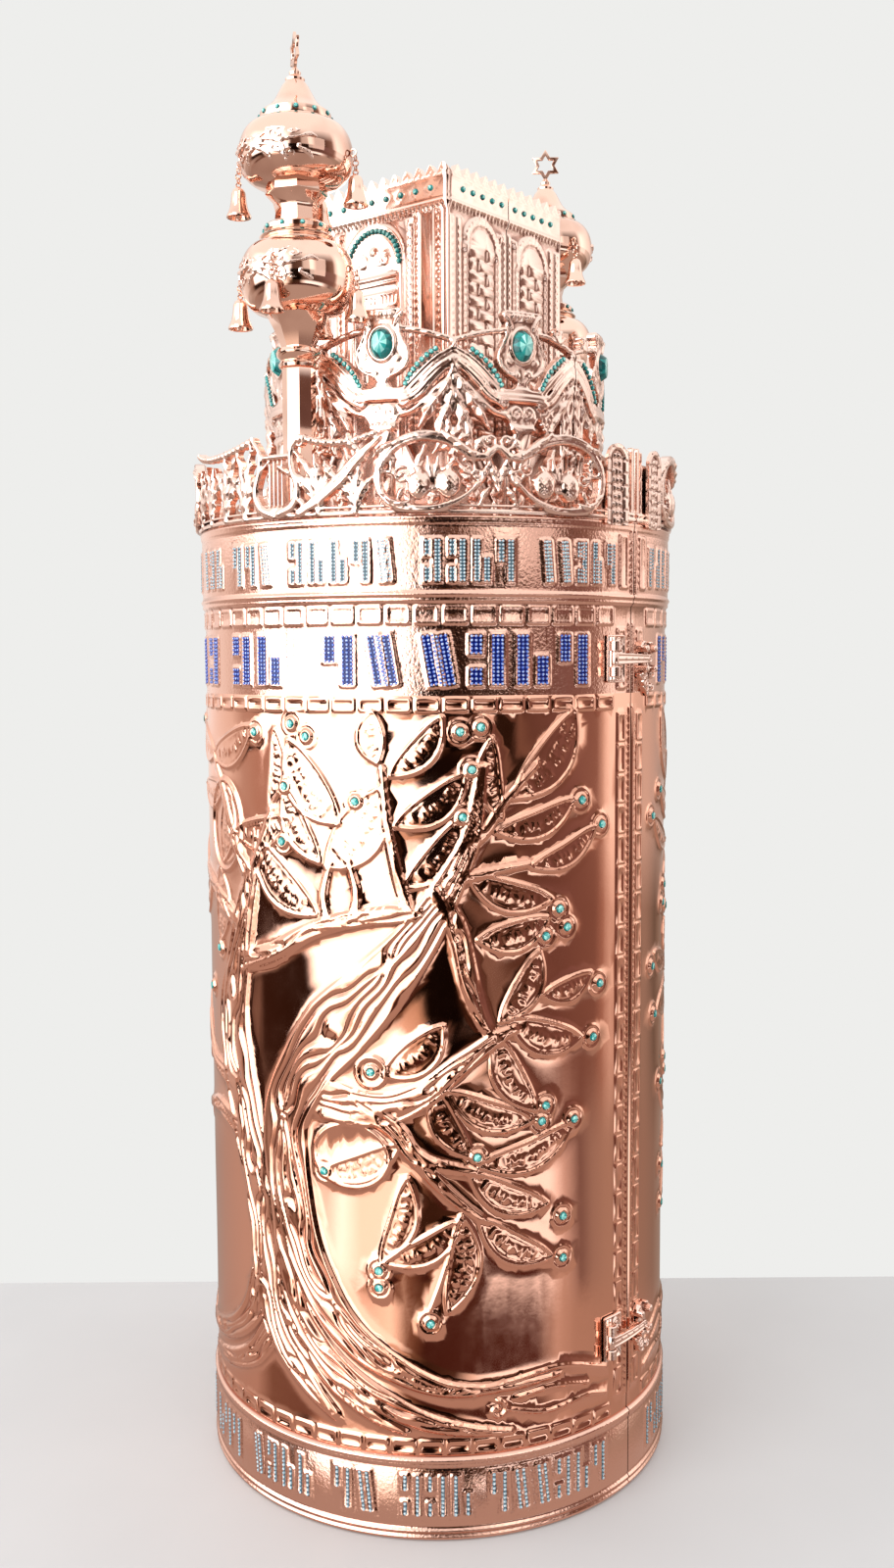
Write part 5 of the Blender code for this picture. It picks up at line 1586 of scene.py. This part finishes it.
def bulb_ornament(centre, tall):
    """Applied leafwork on the outer face of a bulb: curls and leaves round a boss."""
    sheet = Sheet(78.0, -27.0, 22.0, 0.62, pierced=True, start=-39.0)
    sheet.ball((0, 0), 4.2, 1.9)
    for turn in range(8):
        lean = math.radians(45 * turn + 22)
        tip = (9 * math.cos(lean), 9 * math.sin(lean))
        sheet.acanthus(((0, 0), (tip[0] / 2, tip[1] / 2), tip), (1.2, 2.6, 0.8), 1.5, 3)
    for hand in (-1, 1):
        for across, up, size, way in ((14, 6, 5.0, 1), (14, -7, 5.0, -1),
                                      (23, 9, 3.6, -1), (22, -12, 4.2, 1)):
            sheet.curl((hand * across, up), size, 1.5, 90, hand * way, 1.1, 1.6)
        sheet.acanthus(((hand * 6, 2), (hand * 16, 0), (hand * 28, 3)), (1.4, 3.2, 0.7), 1.6, 6)
        sheet.acanthus(((hand * 4, -6), (hand * 9, -13), (hand * 8, -18)), (1.2, 2.8, 0.7), 1.5, 4)
        for path in (((5, 6), (10, 13), (7, 21)), ((14, 10), (21, 15), (28, 16)),
                     ((15, -10), (19, -17), (15, -25)), ((26, -7), (32, -11), (36, -18)),
                     ((28, 3), (33, 6), (37, 3))):
            sheet.acanthus([(hand * across, up) for across, up in path], (1.2, 3.0, 0.8), 1.6, 4)
        sheet.ball((hand * 27, -5), 1.8, 1.5)
        sheet.ball((hand * 27, 9), 1.6, 1.5)
    sheet.height = blurred(sheet.height, 1, 1)
    return beaten(sheet, *on_bulb(centre, tall), 11000, -0.8, True)


def finial_stones():
    """Rings of small stones under the cone and at the waist of a finial."""
    stones = []
    for count, reach, height in ((12, 20.3, 815.2), (10, 18.7, 753.3)):
        for step in range(count):
            azimuth = 360.0 * (step + 0.5) / count
            out = (math.cos(math.radians(azimuth)), math.sin(math.radians(azimuth)), 0.25)
            stones.append((round_finial(reach, azimuth, height), out, 1.6))
    return stones


# ---------------------------------------------------------------- latches

LATCHES = {"lower": 101.0, "upper": 509.0}          # heights of their middles


def latch_plate(height):
    """A latch's plate: a framed rectangle with two ribs and a scroll in its field."""
    sheet = Sheet(18.0, height - 15, height + 15, 0.4, pierced=True, start=7.6)
    sheet.panel((8.6, height - 14), (24.6, height + 14), 1.3, 0.8, 0.5, 1.2)
    for across in (21.9, 19.6):
        sheet.wire(((across, height - 12), (across, height + 12)), 0.85, 1.9)
    for hand in (-1, 1):
        sheet.curl((14.0, height + 8.2 * hand), 3.0, 1.4, 90 * hand, -hand, 0.8, 1.7)
        sheet.acanthus(((14, height), (12.6, height + 4 * hand), (15.6, height + 7 * hand)),
                       (1, 2.0, 0.8), 1.5, 3)
    return beaten(sheet, *on_drum(148.4), 3000, -0.4, True)


def latch_strap(height):
    """The hasp's strap: it crosses the seam and ends in a ring over the catch."""
    sheet = Sheet(37.6, height - 4.2, height + 4.2, 0.3, pierced=True, start=-14.6)
    path = ((22.0, height), (4.0, height), (-11.0, height))
    part, side, _, wide, _ = sheet.trace(path, (3.5, 2.9, 2.4))
    share = np.abs(side) / wide
    sheet.press(part, 0.4 + 0.6 * line_at(share, 0.78, 0.16) + 0.5 * line_at(side, 0.0, 0.7), share < 1.0)
    sheet.ring((-11.2, height), 1.9, 0.5, 1.1, fill=0.3)
    for across in (15.0, 9.0, 3.0, -3.0):
        sheet.ball((across, height), 1.2, 1.1)
    return beaten(sheet, *on_drum(154.0), 3000, -1.0, True)


def latch_catch(height):
    """The catch: a scrolled plate, longer below, with four studs that the strap lies between."""
    sheet = Sheet(21.0, height - 24, height + 12, 0.4, pierced=True, start=4.0)
    path = ((9, 9), (14.5, 5), (15.5, -4), (14.5, -13), (17.5, -21))
    sheet.acanthus([(across, height + up) for across, up in path], (2.4, 6.0, 6.6, 5.4, 1.6), 1.6, 6)
    for across, up, size, start, hand in ((9.6, 6.6, 3.4, 90, 1), (19.2, 5.8, 3.6, 90, -1),
                                          (20.2, -8.6, 3.2, 0, -1), (9.0, -9.4, 3.4, 180, 1),
                                          (12.6, -16.6, 3.6, 90, 1), (19.2, -16.6, 2.8, 0, -1)):
        sheet.curl((across, height + up), size, 1.3, start, hand, 1.1, 3.2)
    sheet.ring((10.6, height - 13.2), 2.7, 0.8, 3.6, fill=0.4)
    for across in (8.3, 19.1):
        for up in (-5.9, 5.9):
            sheet.ball((across, height + up), 2.3, 1.3, base=5.0)
    return beaten(sheet, *on_drum(148.4), 5000, -0.4, True)


def on_axis(height, name, parts):
    """Turned parts on a hasp's hinge axis, as one piece; each is (radius, low, high)."""
    turn = math.radians(HASP_ANGLE)
    centre = (-HASP_RADIUS * math.sin(turn) - SEAM, -HASP_RADIUS * math.cos(turn))
    edge = 0.5
    return joined([lathe([(share * radius, height + level) for share, level in
                          ((0.4, low), (0.85, low), (1.0, low + edge),
                           (1.0, high - edge), (0.85, high), (0.4, high))], 20, centre)
                   for radius, low, high in parts], name)


def latches():
    """Both latches: the plate with its lugs, the strap with its barrel, and the catch."""
    metal = CAST_METAL, "latch_metal"
    for level, height in LATCHES.items():
        plate = make_half(level + "_plate_relief", latch_plate(height), -1.0, *metal, "case_body")
        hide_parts(level + "_latch_plate")
        lugs = on_axis(height, level + "_lugs", ((3.2, -10.5, -4.4), (3.2, 4.4, 10.5)))
        finished(lugs, *metal, "case_body")
        strap = make_half(level + "_strap", latch_strap(height), -1.0, *metal, level + "_hasp")
        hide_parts(level + "_hasp")
        finished(on_axis(height, level + "_barrel", ((2.3, -4.0, 4.0),)), *metal, level + "_hasp")
        catch = make_half(level + "_catch_relief", latch_catch(height), 1.0, *metal, "door")
        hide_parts(level + "_catch")


def plate_hinges():
    """The hinges keep their shapes and take a worn plated steel."""
    for name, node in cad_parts.items():
        if "hinge" in name:
            for place in node.material_slots:
                place.material = HINGE_METAL


# ---------------------------------------------------------------- making the object

# Sheets that both halves are made from: name, arrays, finish, slot, and the part it replaces.
SHEETS = (
    ("tree_panel", tree_panel(), SHEET_METAL, "embossed_sheet", "case"),
    ("upper_bands", upper_bands(), BAND_METAL, "embossed_sheet", None),
    ("base_band", base_band(), BAND_METAL, "embossed_sheet", None),
    ("pierced_crown", crown(), CAST_METAL, "cast_ornament", "crown"),
    ("round_tablet", tablet(), CAST_METAL, "cast_ornament", "tablet"),
    ("shield_coronet", coronet(), CAST_METAL, "cast_ornament", "coronet"),
    ("temple_walls", temple(), CAST_METAL, "cast_ornament", "temple"),
    ("lower_leafwork", bulb_ornament(LOWER_BULB, 21.0), CAST_METAL, "cast_ornament", None),
    ("upper_leafwork", bulb_ornament(UPPER_BULB, 18.0), CAST_METAL, "cast_ornament", None),
)
ovals, arcs = coronet_stones()
turned = finial()
for label, side, body in HALVES:
    for name, arrays, finish, slot_name, part in SHEETS:
        piece = make_half(f"{label}_{name}", arrays, side, finish, slot_name, body)
        if part:
            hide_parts(f"{label}_{part}")
    drum_lining(side, body, label + "_lining")
    deck(side, body, label + "_temple_roof")
    piece = turned if side < 0 else mirrored(turned, "right_finial_metal")
    finished(piece, TURNED_METAL, "cast_ornament", body)
    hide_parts(label + "_finial")

    teal = [on_wall(DRUM, angle * DEGREE, up, 0.8) + (size,) for angle, up, size in berries]
    for name, places, sides, tall in (
            ("berries", teal, 8, 1.0), ("oval_stones", ovals, 12, 1.34), ("arc_stones", arcs, 6, 1.0),
            ("temple_stones", temple_stones(), 6, 1.0), ("finial_stones", finial_stones(), 6, 1.0)):
        set_stones(f"{label}_{name}", places, side, TEAL, "teal_stone", body, sides, tall)
    for kind, (spots, beds), lift, finish in (("blue", marks_blue, 0.35, BLUE),
                                              ("pale", marks_pale, 0.35 + BAND, PALE)):
        places = [on_wall(DRUM, across, up, lift) + (size,) for across, up, size in spots]
        plates = [[on_wall(DRUM, across, up, lift + 0.12)[0] for across, up in bed] for bed in beds]
        set_stones(f"{label}_{kind}_stones", places, side, finish, kind + "_stone", body, 5, beds=plates)
bells()
latches()
plate_hinges()


# ---------------------------------------------------------------- floor, light and camera

# The camera stands in front and to the left, a little over half way up: angles in degrees, the first
# one from the front seam towards the left, and lengths in metres.
VIEW_ANGLE = 51.19
VIEW_DISTANCE = 0.9579
VIEW_HEIGHT = 0.5094
VIEW_PITCH = -4.885
VIEW_YAW = 0.4086
VIEW_ROLL = -0.2575
VIEW_LENS = 33.63               # in mm, for a frame 36 mm high


def studio():
    """A plain pale table top: its far edge runs across the view close behind the case."""
    behind, before, wide, drop = 0.21, 3.0, 3.0, 0.0005
    bpy.ops.mesh.primitive_plane_add(size=1.0, location=(0.0, 0.0, 0.0))
    floor = bpy.context.object
    floor.name = "floor"
    turn = Matrix.Rotation(-math.radians(VIEW_ANGLE), 4, "Z")
    middle = Matrix.Translation((0.0, (behind - before) / 2, -drop))
    size = Matrix.Diagonal((2 * wide, behind + before, 1.0, 1.0))
    floor.data.transform(turn @ middle @ size)
    made, tree, shader = new_material("pale_floor", "#BEC2C5", 0.0, 0.5)
    where = add(tree, "ShaderNodeTexCoord").outputs["Object"]
    cloud = add(tree, "ShaderNodeTexNoise", [(where, "Vector")], scale=3.0, detail=4.0)
    tree.links.new(ramp(tree, cloud.outputs["Fac"], ((0.3, "#BEC2C5"), (0.7, "#C7CBCE"))),
                   shader.inputs["Base Color"])
    floor.data.materials.append(made)
    floor.visible_glossy = False


def tilted(first, second, degrees):
    """Two directions at right angles, turned by an angle in their own plane."""
    turn = math.radians(degrees)
    return (math.cos(turn) * first + math.sin(turn) * second,
            math.cos(turn) * second - math.sin(turn) * first)


def camera():
    """The camera, looking at the case from the front left."""
    data = bpy.data.cameras.new("camera")
    data.sensor_fit = "VERTICAL"
    data.sensor_height = 36.0
    data.lens = VIEW_LENS
    data.clip_start = 0.02
    made = bpy.data.objects.new("camera", data)
    bpy.context.scene.collection.objects.link(made)
    turn = math.radians(VIEW_ANGLE)
    level = Vector((math.sin(turn), math.cos(turn), 0.0))
    right, up = Vector((math.cos(turn), -math.sin(turn), 0.0)), Vector((0.0, 0.0, 1.0))
    ahead, right = tilted(level, right, VIEW_YAW)
    ahead, up = tilted(ahead, up, VIEW_PITCH)
    right, up = tilted(right, up, VIEW_ROLL)
    made.matrix_world = (Matrix.Translation(Vector((0.0, 0.0, VIEW_HEIGHT)) - VIEW_DISTANCE * level)
                         @ Matrix((right, up, -ahead)).transposed().to_4x4())
    bpy.context.scene.camera = made


def soft_box(name, place, target, size, power, colour):
    """A large soft light aimed at a point."""
    data = bpy.data.lights.new(name, "AREA")
    data.shape = "RECTANGLE"
    data.size, data.size_y = size
    data.energy = power
    data.color = linear(colour)[:3]
    made = bpy.data.objects.new(name, data)
    made.location = place
    made.rotation_euler = (Vector(target) - Vector(place)).to_track_quat("-Z", "Y").to_euler()
    bpy.context.scene.collection.objects.link(made)


# What stands round the case, for the metal to show: (direction in degrees from the front seam towards
# the left, colour, brightness), from over the walls down to the table top at the case's foot.
ABOVE = (
    (-90, "#E8DAD2", 1.2), (-66, "#F2E7E1", 1.5), (-44, "#F7EFEB", 1.9), (-36, "#F2E6E0", 1.3),
    (-30, "#B08A7A", 0.7), (-12, "#8A6252", 0.5), (8, "#7A5444", 0.45), (16, "#EADFD8", 1.2),
    (34, "#EADBD2", 1.0), (38, "#8A6858", 0.6), (56, "#7A5848", 0.6), (60, "#F6EEEA", 1.8),
    (72, "#FFFFFF", 3.0), (140, "#FFFFFF", 3.2), (158, "#F8F2EF", 1.6), (205, "#E2D5CE", 1.0),
    (262, "#DCCEC6", 1.0),
)
WALLS = (
    (-90, "#D8C8BE", 0.85), (-62, "#EADCD2", 1.1), (-58, "#F4EAE4", 1.4), (-42, "#F6EEE8", 1.45),
    (-38, "#E0C8BC", 1.0), (-34, "#A88478", 0.8), (-14, "#96706A", 0.75), (6, "#8A665A", 0.6),
    (12, "#9A7868", 0.7), (14, "#3E281C", 0.5), (38, "#4E3426", 0.5), (44, "#2C1B12", 0.4),
    (60, "#241610", 0.4), (63, "#FFFFFF", 3.2), (100, "#FFFFFF", 3.4), (142, "#FFFFFF", 3.0),
    (146, "#C8A494", 0.9), (160, "#D0B8AC", 0.95), (172, "#EADED6", 1.15), (200, "#F0E6E0", 1.25),
    (232, "#E4D8D0", 1.0), (262, "#C8B6AA", 0.85),
)
GROUND = (
    (-90, "#94806F", 0.6), (-60, "#D0BCAE", 0.9), (-44, "#ECDCD2", 1.2), (-38, "#BC9484", 0.85),
    (-32, "#9A7468", 0.75), (-8, "#8A645A", 0.7), (16, "#7A5848", 0.6), (24, "#A4887A", 0.7),
    (34, "#8A6A5A", 0.6), (40, "#1E120C", 0.3), (56, "#2A1A12", 0.3), (60, "#D9B79C", 1.1),
    (68, "#E8CDB8", 1.3), (71, "#FFFFFF", 3.0), (112, "#FFFFFF", 3.0), (117, "#4A2E20", 0.4),
    (146, "#5A3A2C", 0.4), (154, "#B89A8A", 0.85), (176, "#D8C6BC", 1.0), (220, "#C2B0A6", 0.9),
    (262, "#A08A78", 0.8),
)
NEAR = (
    (-90, "#B49C8C", 0.65), (-44, "#D0B8A8", 0.75), (-32, "#C4ACA0", 0.7), (-24, "#A88A82", 0.6),
    (-14, "#E4D0C8", 1.0), (-6, "#FFFFFF", 1.55), (28, "#FFFFFF", 1.65), (36, "#F0E0D4", 1.1),
    (42, "#7A5442", 0.45), (55, "#5A3A28", 0.4), (62, "#A07A60", 0.65), (70, "#FFF6EC", 1.7),
    (100, "#FFFFFF", 2.2), (112, "#E8D2C4", 1.3), (118, "#6A4838", 0.5), (130, "#B89C8C", 0.75),
    (156, "#DCC6BA", 0.9), (220, "#B8A296", 0.8), (262, "#B09A8A", 0.75),
)
LOW = (
    (-90, "#C4A898", 0.7), (-60, "#D0B4A4", 0.72), (-20, "#D8BCAC", 0.75), (-10, "#E0C6B8", 0.85),
    (1, "#7A463A", 0.5), (58, "#6A3A2E", 0.45), (66, "#9A6E54", 0.7), (74, "#FFF0E0", 1.5),
    (90, "#F4DCCC", 1.2), (100, "#E0C4B0", 1.0), (112, "#D8B4A0", 0.9), (118, "#9A7060", 0.6),
    (144, "#A07A68", 0.65), (156, "#CDB0A2", 0.85), (224, "#C4AA9E", 0.85), (262, "#C0A496", 0.8),
)
FLOOR_TONE, SKY_TONE, SKY_POWER = "#BCA498", "#F6F2EF", 1.35
# Each level, with the upward part of a direction at which it starts and at which it has taken over
# from the one below; under all of them is the plain floor tone, and the last is the plain sky.
LEVELS = ((LOW, -0.50, -0.465), (NEAR, -0.415, -0.395), (GROUND, -0.32, -0.26), (WALLS, -0.17, -0.10),
          (ABOVE, 0.09, 0.13), (None, 0.35, 0.6))


def round_about(tree, share, stops):
    """Colours by direction: a ramp over a full turn that begins at 90 degrees."""
    ordered = sorted((((90.0 - angle) / 360.0) % 1.0, colour, power) for angle, colour, power in stops)
    ordered = [(0.0,) + ordered[0][1:]] + ordered + [(1.0,) + ordered[0][1:]]
    node = add(tree, "ShaderNodeValToRGB", [(share, "Fac")])
    while len(node.color_ramp.elements) < len(ordered):
        node.color_ramp.elements.new(0.5)
    for element, (place, colour, power) in zip(node.color_ramp.elements, ordered):
        element.position = place
        element.color = [power * value for value in linear(colour)[:3]] + [1.0]
    return node.outputs["Color"]


def room():
    """Pale walls to the camera; to the metal, a room with windows and darker corners."""
    bpy.context.scene.view_settings.view_transform = "Standard"
    world = bpy.data.worlds.new("room")
    bpy.context.scene.world = world
    world.use_nodes = True
    tree = world.node_tree
    back = tree.nodes["Background"]
    way = add(tree, "ShaderNodeTexCoord").outputs["Generated"]
    axis = add(tree, "ShaderNodeSeparateXYZ", [(way, "Vector")])
    angle = add(tree, "ShaderNodeMath", [(axis.outputs["Y"], 0), (axis.outputs["X"], 1)],
                operation="ARCTAN2")
    share = add(tree, "ShaderNodeMapRange", [(angle.outputs[0], "Value")],
                from_min=-math.pi, from_max=math.pi).outputs["Result"]
    seen = None
    for stops, low, high in LEVELS:
        rise = add(tree, "ShaderNodeMapRange", [(axis.outputs["Z"], "Value")], from_min=low, from_max=high)
        level = add(tree, "ShaderNodeMix", [(rise.outputs["Result"], "Factor")], data_type="RGBA")
        if seen:
            tree.links.new(seen, level.inputs["A"])
        else:
            level.inputs["A"].default_value = linear(FLOOR_TONE)
        if stops:
            tree.links.new(round_about(tree, share, stops), level.inputs["B"])
        else:
            level.inputs["B"].default_value = [SKY_POWER * value for value in linear(SKY_TONE)]
        seen = level.outputs["Result"]
    tree.links.new(seen, back.inputs["Color"])
    plain = add(tree, "ShaderNodeBackground", color=linear("#EEEEEC"), strength=1.0)
    path = add(tree, "ShaderNodeLightPath")
    either = add(tree, "ShaderNodeMixShader", [(path.outputs["Is Camera Ray"], "Fac")])
    tree.links.new(back.outputs[0], either.inputs[1])
    tree.links.new(plain.outputs[0], either.inputs[2])
    tree.links.new(either.outputs[0], tree.nodes["World Output"].inputs["Surface"])


studio()
camera()
room()
soft_box("window_light", (-1.6, 0.1, 1.3), (0, 0, 0.4), (1.0, 1.4), 9.0, "#FFFDFB")
soft_box("fill_light", (-0.3, -2.0, 1.1), (0, 0, 0.5), (1.2, 1.0), 3.0, "#FFF6F0")
